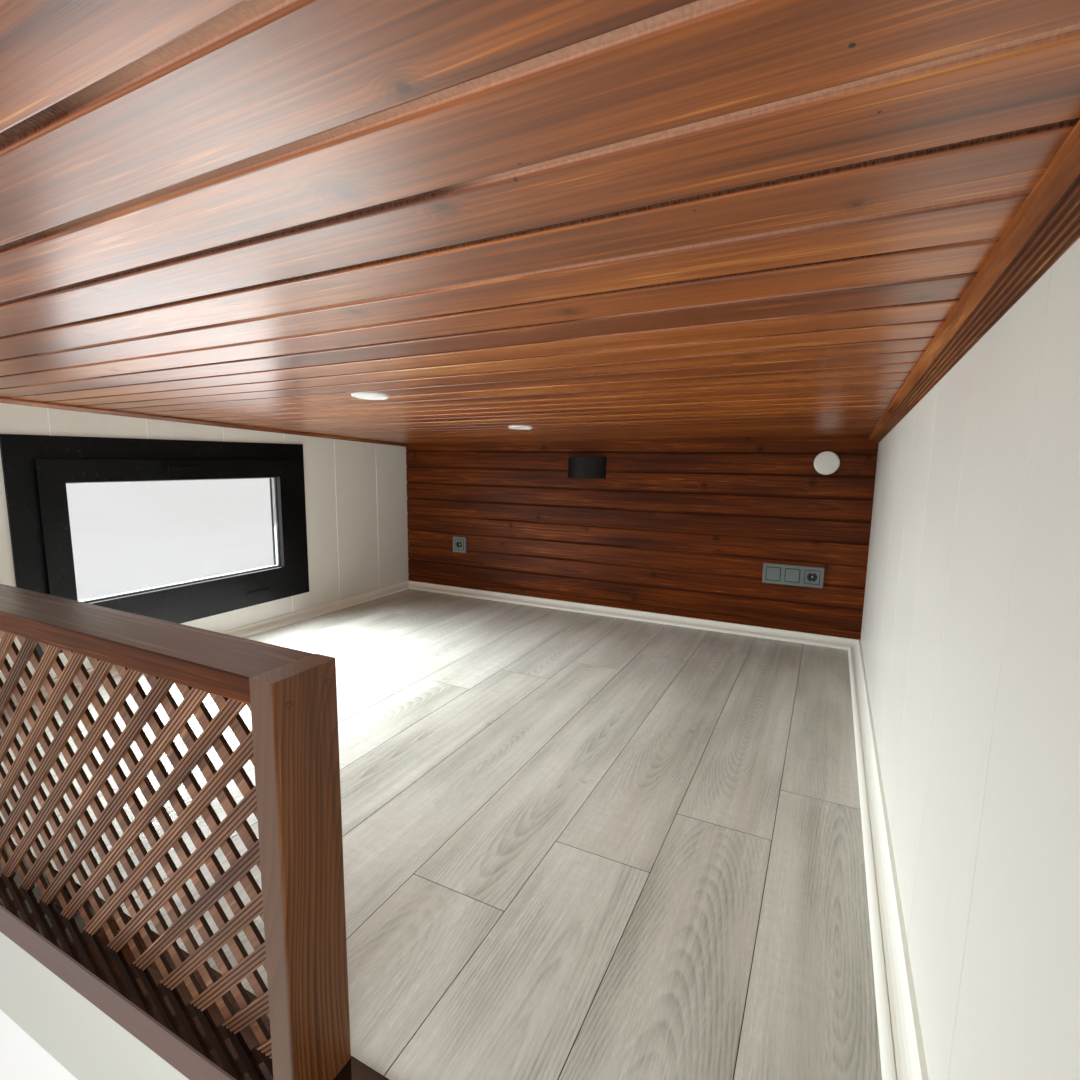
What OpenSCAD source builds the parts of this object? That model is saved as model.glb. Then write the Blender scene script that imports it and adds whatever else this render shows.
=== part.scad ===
// Sleeping loft of a tiny house: one bay with its floor, walls, low sloped roof,
// side window and lattice balustrade. Front is -Y, the end wall is at +Y, up is +Z.
// The origin is the bottom centre of the whole bay.

/* [Room] */
// Clear width between the wall panels
room_w = 2348; // [1900:2:2700]
// Depth from the end wall boards to the front edge of the side walls
room_d = 2640; // [2450:10:3200]
// Depth from the end wall boards to the front face of the floor edge
floor_d = 2271; // [2200:1:2380]
// Ceiling height over the floor, in the middle of the end wall
ceiling_h = 850; // [820:2:1100]
// Rise of the roof towards the front, in degrees
roof_pitch = 2.62; // [0:0.02:5]
// Rise of the roof towards the right wall, in degrees
roof_cross = 0.74; // [0:0.02:1.5]

/* [Walls] */
// Thickness of a whole outside wall
wall_t = 101; // [95:1:160]
// Thickness of the white inside panels
panel_t = 10; // [8:1:14]
// Spacing of the upright grooves in the panels
panel_pitch = 290; // [200:5:400]
// First panel groove, from the end wall
panel_first = 247; // [100:1:290]
// Width of a panel groove
panel_groove_w = 4; // [2:0.5:6]
// Thickness of the outside boards
cladding_t = 18; // [15:1:24]
// Width of the corner trims and front jambs on the outside
corner_w = 50; // [40:1:80]

/* [Stained boards] */
// Thickness of the ceiling and end wall boards
board_t = 14; // [12:0.5:18]
// Width that each tongued board covers
board_cover = 90.2; // [70:0.2:110]
// First joint in the ceiling, from the end wall
ceiling_first = 91; // [40:1:100]
// First joint in the end wall, above the floor
end_first = 69; // [52:1:100]
// Width of the sunk strip between two board faces
strip_w = 10; // [6:0.5:14]
// Depth of the sunk strip
strip_depth = 4; // [3:0.5:6]
// Width of the open joint at the edge of the strip
joint_w = 1.6; // [1:0.2:3]
// Depth of the open joint below the strip
joint_depth = 3; // [1:0.5:4]
// Rounding of a board's long edges
board_round = 2.5; // [1:0.5:2.5]

/* [Floor] */
// Thickness of the white boards under the joists
lining_t = 12; // [9:1:20]
// Height of the floor joists
joist_h = 200; // [120:5:240]
// Thickness of a joist
joist_t = 45; // [35:1:60]
// Number of joists, with both end ones
joist_count = 7; // [5:1:9]
// Thickness of the deck board on the joists
deck_t = 20; // [15:1:25]
// Thickness of the grey planks
plank_t = 8; // [7:1:12]
// Width of a grey plank
plank_w = 193; // [150:1:240]
// Length of a grey plank
plank_l = 1380; // [1200:10:1500]
// Distance from the end wall to the first end joint in the row at the right wall
plank_first = 1270; // [400:5:1300]
// Offset of the end joints from one row to the next
plank_step = 204.5; // [150:0.5:400]
// Gap between the planks and the walls, under the skirting
plank_gap = 16; // [8:1:18]
// Width of the joint line between planks
plank_joint = 1.5; // [1:0.1:3]

/* [Floor edge] */
// Depth of the stained edge board, front to back
edge_d = 87; // [70:1:110]
// Height of its top above the grey planks
edge_lip = 8; // [4:1:15]
// Height of its front face
edge_face_h = 40; // [36:1:60]
// Thickness of the part that hangs in front of the deck
edge_nose_t = 28; // [22:1:36]
// Height of the batten under it
batten_h = 20; // [8:1:25]
// Thickness of the white panel below
fascia_t = 18; // [12:1:20]

/* [Balustrade] */
// Height of the balustrade above the floor
rail_top_h = 531; // [450:1:750]
// Height of the top rail
rail_h = 29; // [20:1:45]
// Width of an upright, seen from the front
post_w = 33; // [24:1:50]
// Clear passage between the end post and the right wall
passage_w = 642; // [500:1:800]
// Rounding of the upright arrises
arris_r = 4; // [1:0.5:8]
// Width of a lattice slat
slat_w = 19; // [14:0.5:24]
// Thickness of a lattice slat
slat_t = 6; // [4:0.5:9]
// Wanted spacing of the crossings, along the rail
slat_pitch = 69; // [60:0.5:100]
// Width of a flute along a slat
flute_w = 2.6; // [1.5:0.1:3]
// Depth of a flute
flute_depth = 1.6; // [0.5:0.1:2]

/* [Window] */
// Width of the window frame
window_w = 1091; // [800:1:1200]
// Bottom of the window frame above the floor
window_sill_h = 118; // [80:1:180]
// Gap between the window frame and the ceiling, where the ceiling is lowest
window_head_gap = 56; // [35:1:100]
// Distance from the end wall to the frame
window_from_end = 733; // [500:1:850]
// Face width of the frame
frame_face = 81; // [65:1:95]
// Face width of the sash
sash_face = 72; // [60:1:85]
// Depth of the frame
frame_d = 62; // [55:1:75]
// How far the frame stands out from the panel
frame_proud = 8; // [4:1:14]
// How far the sash stands out from the frame
sash_proud = 14; // [8:1:20]
// How far the sash laps over the frame
sash_lap = 8; // [5:0.5:12]
// Thickness of the double glass
glass_t = 24; // [20:1:32]
// Thickness of the outside reveal lining
reveal_t = 2; // [1:0.5:4]

/* [Skirting and cornice] */
// Height of the skirting
skirting_h = 37; // [30:1:44]
// Thickness of the skirting at the floor
skirting_t = 44; // [26:1:50]
// Height of the fluted cornice on the right wall
cornice_h = 30; // [22:1:45]
// Width of the fluted cornice on the ceiling
cornice_w = 36; // [28:1:50]
// Number of flutes in that cornice
cornice_flutes = 5; // [3:1:7]
// Side of the small cornice on the left wall
bead_w = 16; // [10:1:24]

/* [Fittings] */
// Diameter of a ceiling spot
spot_d = 95; // [70:1:110]
// Height of a spot's rim below the ceiling
spot_h = 5; // [3:0.5:9]
// Distance of the spots from the left wall
spot_x = 1107; // [700:1:1400]
// Distance of the first spot from the end wall
spot_first = 660; // [400:5:900]
// Spacing of the two spots
spot_gap = 813; // [500:1:1100]
// Width of the wall lamp
lamp_w = 200; // [150:1:240]
// Height of the wall lamp
lamp_h = 102; // [70:1:140]
// How far the wall lamp stands out
lamp_d = 66; // [50:1:90]
// Lamp centre from the left wall
lamp_x = 1119; // [800:1:1400]
// Lamp centre above the floor
lamp_z = 719; // [600:1:740]
// Diameter of the vent disc
vent_d = 95; // [70:1:120]
// Vent disc centre from the right wall
vent_x = 177; // [120:1:300]
// Vent disc centre above the floor
vent_z = 756; // [600:1:770]
// Height of a socket frame
socket_h = 86; // [82:1:90]
// Pitch of the modules in the triple frame
module_w = 76; // [70:1:80]
// Width of the frame around its modules
module_rim = 13; // [8:1:15]
// Diameter of a socket well
socket_well_d = 39; // [36:0.5:41]
// Thickness of a socket frame
socket_t = 10; // [8:0.5:14]
// Single socket centre from the left wall
single_x = 370; // [200:2:600]
// Triple frame centre from the right wall
triple_x = 273; // [200:1:500]
// Socket centres above the floor
socket_z = 281; // [200:1:450]

/* [Roof] */
// Thickness of the insulated roof frame
roof_core_t = 80; // [60:5:140]
// Thickness of the roof fascias
trim_t = 18; // [12:1:25]
// Thickness of the metal roof sheet
sheet_t = 3; // [2:0.5:5]
// Height of a standing seam
seam_h = 25; // [15:1:40]
// Width of a standing seam
seam_w = 8; // [5:1:14]
// Number of trays in the roof sheet
tray_count = 5; // [4:1:8]

/* [Hidden] */
$fn = 48;

stain = [0.36, 0.17, 0.08];
stain_light = [0.50, 0.24, 0.11];
white = [0.90, 0.90, 0.87];
grey_plank = [0.62, 0.60, 0.56];
anthracite = [0.13, 0.14, 0.15];
fitting_grey = [0.32, 0.35, 0.36];
timber = [0.78, 0.66, 0.46];

// Overall sizes, with the origin in the middle of the base
body_w = room_w + 2 * wall_t;
body_d = room_d + wall_t;
y_front = -body_d / 2;
y_back = body_d / 2;
y_end = y_back - wall_t;
x_panel = room_w / 2;
x_core = x_panel + panel_t;
x_clad = body_w / 2 - cladding_t;
z_deck = lining_t + joist_h + deck_t;
z_floor = z_deck + plank_t;

// Floor edge
y_edge = y_end - floor_d;
y_nose = y_edge + edge_nose_t;
y_planks = y_edge + edge_d;
z_edge_top = z_floor + edge_lip;
z_edge_bottom = z_edge_top - edge_face_h;
z_batten = z_edge_bottom - batten_h;

// Balustrade
z_rail_top = z_floor + rail_top_h;
z_rail_under = z_rail_top - rail_h;
x_post_right = x_panel - passage_w;
x_post_left = x_post_right - post_w;
x_wall_post = -x_panel + post_w;

// Roof layers, measured square to the slope from the ceiling face
roof_top_n = board_t + roof_core_t;
slope_len = room_d / cos(roof_pitch) + 4 * roof_top_n;
// A height above everything
z_high = 2 * (z_floor + ceiling_h);

// Window
y_window = y_end - window_from_end;
z_window = z_floor + window_sill_h;
window_h = layer_z(-x_panel, y_window, 0) - window_head_gap - z_window;
x_frame_in = -x_panel + frame_proud;
x_frame_out = x_frame_in - frame_d;
sash_w = window_w - 2 * frame_face + 2 * sash_lap;
sash_h = window_h - 2 * frame_face + 2 * sash_lap;
glass_w = sash_w - 2 * sash_face;
glass_h = sash_h - 2 * sash_face;
glass_rebate = 12;
fit_gap = 0.3;

// Height of the layer n above the ceiling face, at x and y
function layer_z(x, y, n) =
    z_floor + ceiling_h + x * tan(roof_cross)
    + (n / cos(roof_pitch) + (y_end - y) * tan(roof_pitch)) / cos(roof_cross);
// Open joints between boards along a run
function joints(len, first, cover) = [for (u = first; u < len - strip_w - 2 * board_round; u = u + cover) u];
// Outline of one sunk strip that ends at the open joint u, as [along, depth] points
function strip_points(u) = concat(
    [for (a = [0:30:90]) [u - strip_w - board_round * (1 - sin(a)), board_round * (1 - cos(a))]],
    [[u - strip_w, strip_depth], [u - joint_w, strip_depth],
     [u - joint_w, strip_depth + joint_depth], [u, strip_depth + joint_depth]],
    [for (a = [90:-30:0]) [u + board_round * (1 - sin(a)), board_round * (1 - cos(a))]]
);
// The same outline turned round, with the strip after the joint
function turned_strip(u) = let (points = strip_points(0)) [
    for (i = [len(points) - 1 : -1 : 0]) [u - points[i][0], points[i][1]]
];
// Section through a run of tongued boards: [along, depth], seen face at depth 0
function board_section(len, first, thick, turned = false) = concat(
    [[0, 0]],
    [for (u = joints(len, first, board_cover)) for (p = turned ? turned_strip(u) : strip_points(u)) p],
    [[len, 0], [len, thick], [0, thick]]
);

// Extrudes a [y, z] outline along X
module along_x(x0, x1) {
    translate([x0, 0, 0])
        rotate([90, 0, 90])
            linear_extrude(x1 - x0) children();
}

// Extrudes an [x, z] outline along Y
module along_y(y0, y1) {
    translate([0, y1, 0])
        rotate([90, 0, 0])
            linear_extrude(y1 - y0) children();
}

// A box between two corners
module block(a, b) {
    translate(a) cube(b - a);
}

// Moves to the ceiling face: local -Y runs down the room, local -Z hangs from the boards
module on_ceiling() {
    translate([0, y_end, z_floor + ceiling_h])
        rotate([-roof_pitch, -roof_cross, 0]) children();
}

// Endless slab between the roof layers n0 and n1
module roof_slab(n0, n1) {
    reach = 2 * body_d;
    on_ceiling()
        translate([-reach, -reach, n0]) cube([2 * reach, 2 * reach, n1 - n0]);
}

// Endless block of everything under the roof layer n
module under_roof(n) {
    roof_slab(-2 * body_d, n);
}

// The hole through the left wall, as a solid from x0 to x1
module window_hole(x0, x1) {
    block([x0, y_window - window_w, z_window], [x1, y_window, z_window + window_h]);
}

// A rectangular ring that faces the room, from x0 to x1
module ring_x(x0, x1, y_mid, z_mid, w, h, face) {
    difference() {
        block([x0, y_mid - w / 2, z_mid - h / 2], [x1, y_mid + w / 2, z_mid + h / 2]);
        block([x0 - 1, y_mid - w / 2 + face, z_mid - h / 2 + face],
              [x1 + 1, y_mid + w / 2 - face, z_mid + h / 2 - face]);
    }
}

// Floor

module underside_lining() {
    color(white)
        difference() {
            block([-x_core, y_nose, 0], [x_core, y_end + board_t, lining_t]);
            for (y = [y_nose + board_cover : board_cover : y_end - board_cover / 2])
                block([-x_core - 1, y - joint_w, -1], [x_core + 1, y + joint_w, joint_w]);
        }
}

module floor_joists() {
    span = y_end + board_t - y_nose - joist_t;
    color(timber)
        union() {
            for (y = [y_nose, y_nose + span])
                block([-x_core, y, lining_t], [x_core, y + joist_t, lining_t + joist_h]);
            for (i = [0 : joist_count - 1])
                translate([-x_core + i * (2 * x_core - joist_t) / (joist_count - 1), y_nose, lining_t])
                    cube([joist_t, span, joist_h]);
        }
}

module deck_board() {
    color(timber)
        block([-x_core, y_nose, z_deck - deck_t], [x_core, y_end + board_t, z_deck]);
}

module plank_floor() {
    rows = ceil((room_w - 2 * plank_gap) / plank_w);
    color(grey_plank)
        difference() {
            block([plank_gap - x_panel, y_planks, z_deck], [x_panel - plank_gap, y_end - plank_gap, z_floor]);
            for (i = [0 : rows - 1]) {
                x = x_panel - plank_gap - i * plank_w;
                if (i > 0)
                    block([x - plank_joint / 2, y_planks - 1, z_floor - plank_joint],
                          [x + plank_joint / 2, y_end + 1, z_floor + 1]);
                for (k = [-1 : ceil(floor_d / plank_l)]) {
                    y = y_end - plank_first - (i % 7) * plank_step - k * plank_l;
                    if (y > y_planks + plank_w / 2 && y < y_end - plank_w / 2)
                        block([max(x - plank_w, -x_panel - 1), y - plank_joint / 2, z_floor - plank_joint],
                              [x, y + plank_joint / 2, z_floor + 1]);
                }
            }
        }
}

module front_fascia() {
    color(white)
        block([-x_panel, y_nose - fascia_t, 0], [x_panel, y_nose, z_batten]);
}

module edge_board() {
    color(stain)
        along_x(-x_panel, x_panel)
            polygon([
                [y_edge, z_edge_bottom], [y_nose, z_edge_bottom], [y_nose, z_deck],
                [y_planks, z_deck], [y_planks, z_edge_top], [y_edge + 2, z_edge_top],
                [y_edge, z_edge_top - 2]
            ]);
}

module edge_batten() {
    setback = 4;
    color(stain)
        block([-x_panel, y_edge + setback, z_batten], [x_panel, y_nose, z_edge_bottom]);
}

// Walls

module side_core(x0, x1) {
    intersection() {
        block([x0, y_front + trim_t, 0], [x1, y_back - cladding_t, z_high]);
        under_roof(board_t);
    }
}

module left_wall_core() {
    color(timber)
        difference() {
            side_core(-x_clad, -x_core);
            window_hole(-x_clad - 1, -x_core + 1);
        }
}

module right_wall_core() {
    color(timber) side_core(x_core, x_clad);
}

module end_wall_core() {
    color(timber)
        intersection() {
            block([-x_core, y_end + board_t, 0], [x_core, y_back - cladding_t, z_high]);
            under_roof(board_t);
        }
}

// White panel with upright grooves, seen face towards x = 0
module side_panel(side) {
    groove_d = panel_groove_w / 2;
    intersection() {
        mirror([side < 0 ? 1 : 0, 0, 0])
            difference() {
                along_x(x_panel, x_core)
                    polygon([
                        [y_front + trim_t, 0], [y_nose, 0], [y_nose, z_deck],
                        [y_end + board_t, z_deck], [y_end + board_t, z_high], [y_front + trim_t, z_high]
                    ]);
                for (u = [panel_first : panel_pitch : room_d - trim_t - panel_groove_w])
                    translate([x_panel, y_end - u, -1])
                        linear_extrude(z_high + 2)
                            polygon([[-1, -groove_d - 1], [groove_d, 0], [-1, groove_d + 1]]);
            }
        under_roof(0);
    }
}

module left_wall_panel() {
    color(white)
        difference() {
            side_panel(-1);
            window_hole(-x_core - 1, -x_panel + 1);
        }
}

module right_wall_panel() {
    color(white) side_panel(1);
}

module end_wall_boards() {
    height = layer_z(x_panel, y_end, board_t) - z_deck;
    color(stain)
        intersection() {
            along_x(-x_panel, x_panel)
                polygon([
                    for (p = board_section(height, end_first + plank_t, board_t, true))
                        [y_end + p[1], z_deck + p[0]]
                ]);
            under_roof(0);
        }
}

module ceiling_boards() {
    color(stain_light)
        intersection() {
            on_ceiling()
                along_x(-body_w / 2, body_w / 2)
                    polygon([
                        for (p = board_section(slope_len, ceiling_first + 2 * roof_top_n, board_t))
                            [2 * roof_top_n - p[0], p[1]]
                    ]);
            block([-x_core, y_front + trim_t, 0], [x_core, y_end + board_t, z_high]);
        }
}

// Outside boards on a side wall, seen face outwards
module side_cladding(side) {
    height = layer_z(body_w / 2, y_front, board_t);
    intersection() {
        mirror([side < 0 ? 1 : 0, 0, 0])
            along_y(y_front + corner_w, y_back - corner_w)
                polygon([
                    for (p = board_section(height, board_cover, cladding_t, true)) [body_w / 2 - p[1], p[0]]
                ]);
        under_roof(board_t);
    }
}

module left_cladding() {
    color(stain)
        difference() {
            side_cladding(-1);
            window_hole(-body_w / 2 - 1, -x_clad + 1);
        }
}

module right_cladding() {
    color(stain) side_cladding(1);
}

module end_cladding() {
    height = layer_z(body_w / 2, y_end, board_t);
    color(stain)
        intersection() {
            along_x(-body_w / 2 + corner_w, body_w / 2 - corner_w)
                polygon([
                    for (p = board_section(height, board_cover, cladding_t, true)) [y_back - p[1], p[0]]
                ]);
            under_roof(board_t);
        }
}

// L-shaped trim on a rear corner
module corner_trim(side) {
    intersection() {
        mirror([side < 0 ? 1 : 0, 0, 0])
            linear_extrude(z_high)
                polygon([
                    [body_w / 2 - corner_w, y_back - cladding_t], [x_clad, y_back - cladding_t],
                    [x_clad, y_back - corner_w], [body_w / 2, y_back - corner_w],
                    [body_w / 2, y_back], [body_w / 2 - corner_w, y_back]
                ]);
        under_roof(board_t);
    }
}

module left_corner_trim() {
    color(anthracite) corner_trim(-1);
}

module right_corner_trim() {
    color(anthracite) corner_trim(1);
}

// Upright board that closes the front end of a side wall and turns the outer corner
module front_jamb(side) {
    intersection() {
        mirror([side < 0 ? 1 : 0, 0, 0])
            linear_extrude(z_high)
                polygon([
                    [x_panel, y_front], [body_w / 2, y_front], [body_w / 2, y_front + corner_w],
                    [x_clad, y_front + corner_w], [x_clad, y_front + trim_t],
                    [x_panel, y_front + trim_t]
                ]);
        under_roof(0);
    }
}

module left_front_jamb() {
    color(anthracite) front_jamb(-1);
}

module right_front_jamb() {
    color(anthracite) front_jamb(1);
}

// Roof

module roof_core() {
    color(timber)
        intersection() {
            roof_slab(board_t, roof_top_n);
            block([-x_clad, y_front + trim_t, 0], [x_clad, y_back - trim_t, z_high]);
        }
}

module roof_sheet() {
    tray = (body_w - seam_w) / tray_count;
    color(anthracite)
        union() {
            intersection() {
                roof_slab(roof_top_n, roof_top_n + sheet_t);
                block([-body_w / 2, y_front, 0], [body_w / 2, y_back, z_high]);
            }
            intersection() {
                roof_slab(roof_top_n, roof_top_n + sheet_t + seam_h);
                for (i = [0 : tray_count])
                    translate([-body_w / 2 + i * tray, y_front, 0])
                        cube([seam_w, body_d, z_high]);
            }
        }
}

module roof_front_fascia() {
    color(anthracite)
        intersection() {
            roof_slab(0, roof_top_n);
            block([-body_w / 2, y_front, 0], [body_w / 2, y_front + trim_t, z_high]);
        }
}

module roof_rear_fascia() {
    color(anthracite)
        intersection() {
            roof_slab(board_t, roof_top_n);
            block([-body_w / 2, y_back - trim_t, 0], [body_w / 2, y_back, z_high]);
        }
}

module roof_verges() {
    color(anthracite)
        intersection() {
            roof_slab(board_t, roof_top_n);
            for (side = [0, 1])
                mirror([side, 0, 0])
                    block([x_clad, y_front + trim_t, 0], [body_w / 2, y_back - trim_t, z_high]);
        }
}

// Window

y_window_mid = y_window - window_w / 2;
z_window_mid = z_window + window_h / 2;

module window_frame() {
    color(anthracite)
        ring_x(x_frame_out, x_frame_in, y_window_mid, z_window_mid, window_w, window_h, frame_face);
}

module window_sash() {
    inner_w = window_w - 2 * frame_face - 2 * fit_gap;
    inner_h = window_h - 2 * frame_face - 2 * fit_gap;
    x_glass = x_frame_in - glass_t;
    color(anthracite)
        difference() {
            union() {
                block([x_frame_in, y_window_mid - sash_w / 2, z_window_mid - sash_h / 2],
                      [x_frame_in + sash_proud, y_window_mid + sash_w / 2, z_window_mid + sash_h / 2]);
                block([x_frame_out + sash_lap, y_window_mid - inner_w / 2, z_window_mid - inner_h / 2],
                      [x_frame_in + 1, y_window_mid + inner_w / 2, z_window_mid + inner_h / 2]);
            }
            block([x_frame_out, y_window_mid - glass_w / 2, z_window_mid - glass_h / 2],
                  [x_frame_in + sash_proud + 1, y_window_mid + glass_w / 2, z_window_mid + glass_h / 2]);
            block([x_glass - glass_rebate, y_window_mid - glass_w / 2 - glass_rebate,
                   z_window_mid - glass_h / 2 - glass_rebate],
                  [x_glass - glass_rebate + glass_t, y_window_mid + glass_w / 2 + glass_rebate,
                   z_window_mid + glass_h / 2 + glass_rebate]);
        }
}

module window_glass() {
    x_glass = x_frame_in - glass_t - glass_rebate;
    edge = glass_rebate - fit_gap;
    color([0.75, 0.82, 0.84, 0.4])
        block([x_glass + fit_gap, y_window_mid - glass_w / 2 - edge, z_window_mid - glass_h / 2 - edge],
              [x_glass + glass_t - fit_gap, y_window_mid + glass_w / 2 + edge,
               z_window_mid + glass_h / 2 + edge]);
}

module window_handle() {
    plate_w = 28;
    plate_t = 10;
    lever_l = 118;
    lever_back = 24;
    lever_h = 18;
    lever_t = 12;
    z = z_window_mid + sash_h / 2 - sash_face / 2;
    x = x_frame_in + sash_proud;
    color(anthracite)
        union() {
            block([x, y_window_mid - plate_w / 2, z - lever_h / 2],
                  [x + plate_t + lever_t / 2, y_window_mid + plate_w / 2, z + lever_h / 2]);
            translate([x + plate_t, y_window_mid + lever_back - lever_l + lever_t / 2, z - lever_h / 2])
                linear_extrude(lever_h)
                    hull() {
                        translate([lever_t / 2, 0]) circle(d = lever_t, $fn = 24);
                        translate([lever_t / 2, lever_l - lever_t]) circle(d = lever_t, $fn = 24);
                    }
        }
}

module window_reveal() {
    color(anthracite)
        ring_x(-body_w / 2, x_frame_out, y_window_mid, z_window_mid, window_w, window_h, reveal_t);
}

// Skirting and cornice

// Section of the skirting: x from the wall, z from the floor
module skirting_section() {
    bead_w = skirting_t * 0.3;
    bead_h = skirting_h * 0.35;
    groove = 2;
    cap_w = skirting_t * 0.16;
    cove_x = skirting_t - bead_w - groove;
    polygon(concat(
        [[0, 0]],
        [for (a = [0:15:90]) [skirting_t - bead_w * (1 - cos(a)), bead_h * sin(a)]],
        [[skirting_t - bead_w, bead_h - groove], [cove_x, bead_h - groove]],
        [for (a = [0:15:90])
            [cove_x - (cove_x - cap_w) * sin(a), skirting_h - (skirting_h - bead_h) * cos(a)]],
        [[0, skirting_h]]
    ));
}

// A straight length of skirting against the right wall, mitred at the end wall
module side_skirting() {
    difference() {
        along_y(y_planks, y_end)
            translate([x_panel, z_floor]) mirror([1, 0]) skirting_section();
        translate([x_panel, y_end, z_floor - 1])
            rotate([0, 0, 45])
                translate([-2 * skirting_t, 0, 0])
                    cube([4 * skirting_t, 2 * skirting_t, skirting_h + 2]);
    }
}

module left_skirting() {
    color(white) mirror([1, 0, 0]) side_skirting();
}

module right_skirting() {
    color(white) side_skirting();
}

module end_skirting() {
    color(white)
        difference() {
            along_x(-x_panel, x_panel)
                translate([y_end, z_floor]) mirror([1, 0]) skirting_section();
            for (side = [0, 1])
                mirror([side, 0, 0])
                    translate([x_panel, y_end, z_floor - 1])
                        rotate([0, 0, 45])
                            translate([-2 * skirting_t, -2 * skirting_t, 0])
                                cube([4 * skirting_t, 2 * skirting_t, skirting_h + 2]);
        }
}

module right_cornice() {
    flat_w = cornice_w * 0.3;
    flute = (cornice_w - flat_w) / cornice_flutes;
    overcut = 2;
    color(stain)
        intersection() {
            on_ceiling()
                along_y(-slope_len, board_t)
                    difference() {
                        polygon([
                            [x_panel + overcut, 0], [x_panel + overcut, -cornice_h], [x_panel, -cornice_h],
                            [x_panel - cornice_w + flat_w, -cornice_h * 0.55],
                            [x_panel - cornice_w, -cornice_h * 0.35], [x_panel - cornice_w, 0]
                        ]);
                        for (i = [0.5 : cornice_flutes])
                            translate([
                                x_panel - i * flute,
                                -cornice_h + i * cornice_h * 0.45 / cornice_flutes
                            ])
                                circle(d = flute * 0.62, $fn = 12);
                    }
            block([0, y_front + trim_t, 0], [x_panel, y_end, z_high]);
        }
}

module left_cornice() {
    overcut = 2;
    color(stain)
        intersection() {
            on_ceiling()
                along_y(-slope_len, board_t)
                    polygon([
                        [-x_panel - overcut, 0], [-x_panel + bead_w, 0], [-x_panel + bead_w, -bead_w / 3],
                        [-x_panel + bead_w / 3, -bead_w], [-x_panel - overcut, -bead_w]
                    ]);
            block([-x_panel, y_front + trim_t, 0], [0, y_end, z_high]);
        }
}

// Balustrade

// The arrises at the passage are rounded, and those at the rail are square
module end_post() {
    color(stain)
        translate([x_post_left, y_edge, z_edge_top])
            linear_extrude(z_rail_top - z_edge_top)
                union() {
                    square([post_w / 2, edge_d]);
                    translate([arris_r, arris_r])
                        offset(r = arris_r, $fn = 32)
                            square([post_w - 2 * arris_r, edge_d - 2 * arris_r]);
                }
}

module wall_post() {
    color(stain)
        block([-x_panel, y_edge, z_edge_top], [x_wall_post, y_planks, z_rail_top]);
}

module top_rail() {
    color(stain)
        along_x(x_wall_post, x_post_left)
            translate([y_edge, z_rail_under])
                polygon([[0, 0], [edge_d, 0], [edge_d, rail_h - 2], [edge_d - 2, rail_h], [2, rail_h], [0, rail_h - 2]]);
}

// Section of a fluted slat, flutes on the front
module slat_section(flutes) {
    difference() {
        translate([-slat_w / 2, 0]) square([slat_w, slat_t]);
        for (i = [0 : flutes - 1])
            translate([(i - (flutes - 1) / 2) * slat_w / (flutes + 0.4), 0])
                polygon([[-flute_w / 2, -0.1], [flute_w / 2, -0.1], [flute_w / 4, flute_depth],
                         [-flute_w / 4, flute_depth]]);
    }
}

// One layer of slats, leaning one way, cut to the opening. A crossing lies at the foot of the end
// post, and the spacing is fitted so that each short slat in a corner still crosses another.
module slat_layer(lean, y0, flutes) {
    open_w = x_post_left - x_wall_post;
    open_h = z_rail_under - z_edge_top;
    count_x = round(2 * open_w / slat_pitch) / 2;
    count_z = round(open_h / slat_pitch - 1 / 4) + 1 / 4;
    pitch_x = open_w / count_x;
    angle = atan2(pitch_x, open_h / count_z);
    slat_l = open_h / cos(angle) + 2 * slat_w;
    first = lean > 0 ? 0 : -ceil(count_z);
    last = lean > 0 ? ceil(count_x + count_z) : ceil(count_x);
    intersection() {
        block([x_wall_post, y0, z_edge_top], [x_post_left, y0 + slat_t, z_rail_under]);
        for (i = [first : last])
            translate([x_post_left - i * pitch_x, y0, z_edge_top])
                rotate([0, lean * angle, 0])
                    translate([0, 0, -slat_w])
                        linear_extrude(slat_l) slat_section(flutes);
    }
}

module lattice() {
    y_mid = y_edge + edge_d / 2;
    color(stain)
        union() {
            slat_layer(1, y_mid - slat_t + fit_gap, 3);
            slat_layer(-1, y_mid, 0);
        }
}

// Fittings

module ceiling_spots() {
    lip = 3;
    color(white)
        on_ceiling()
            for (i = [0, 1])
                translate([-x_panel + spot_x, -(spot_first + i * spot_gap), -spot_h])
                    rotate_extrude($fn = 64)
                        polygon([
                            [0, spot_h], [0, spot_h / 2], [spot_d / 2 - 2 * lip, spot_h / 2],
                            [spot_d / 2 - 2 * lip, 0], [spot_d / 2 - lip, 0],
                            [spot_d / 2, spot_h - 1], [spot_d / 2, spot_h]
                        ]);
}

module wall_lamp() {
    shell = 4;
    lens_depth = 3;
    radius = (lamp_w * lamp_w / 4 + lamp_d * lamp_d) / (2 * lamp_d);
    color([0.03, 0.03, 0.03])
        translate([-x_panel + lamp_x, y_end, z_floor + lamp_z - lamp_h / 2])
            difference() {
                linear_extrude(lamp_h)
                    intersection() {
                        translate([0, radius - lamp_d]) circle(r = radius, $fn = 96);
                        translate([-lamp_w / 2, -lamp_d]) square([lamp_w, lamp_d]);
                    }
                for (z = [-1, lamp_h - lens_depth])
                    translate([0, 0, z])
                        linear_extrude(lens_depth + 1)
                            intersection() {
                                translate([0, radius - lamp_d]) circle(r = radius - shell, $fn = 96);
                                translate([-lamp_w / 2, -lamp_d]) square([lamp_w, lamp_d - shell]);
                            }
            }
}

module vent_disc() {
    thick = 12;
    lip = 8;
    color(white)
        translate([x_panel - vent_x, y_end, z_floor + vent_z])
            rotate([90, 0, 0])
                rotate_extrude($fn = 64)
                    polygon([
                        [0, 0], [vent_d / 2 - lip, 0], [vent_d / 2 - lip, thick * 0.4],
                        [vent_d / 2, thick * 0.4], [vent_d / 2, thick * 0.75],
                        [vent_d / 2 - lip / 2, thick], [0, thick]
                    ]);
}

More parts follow.
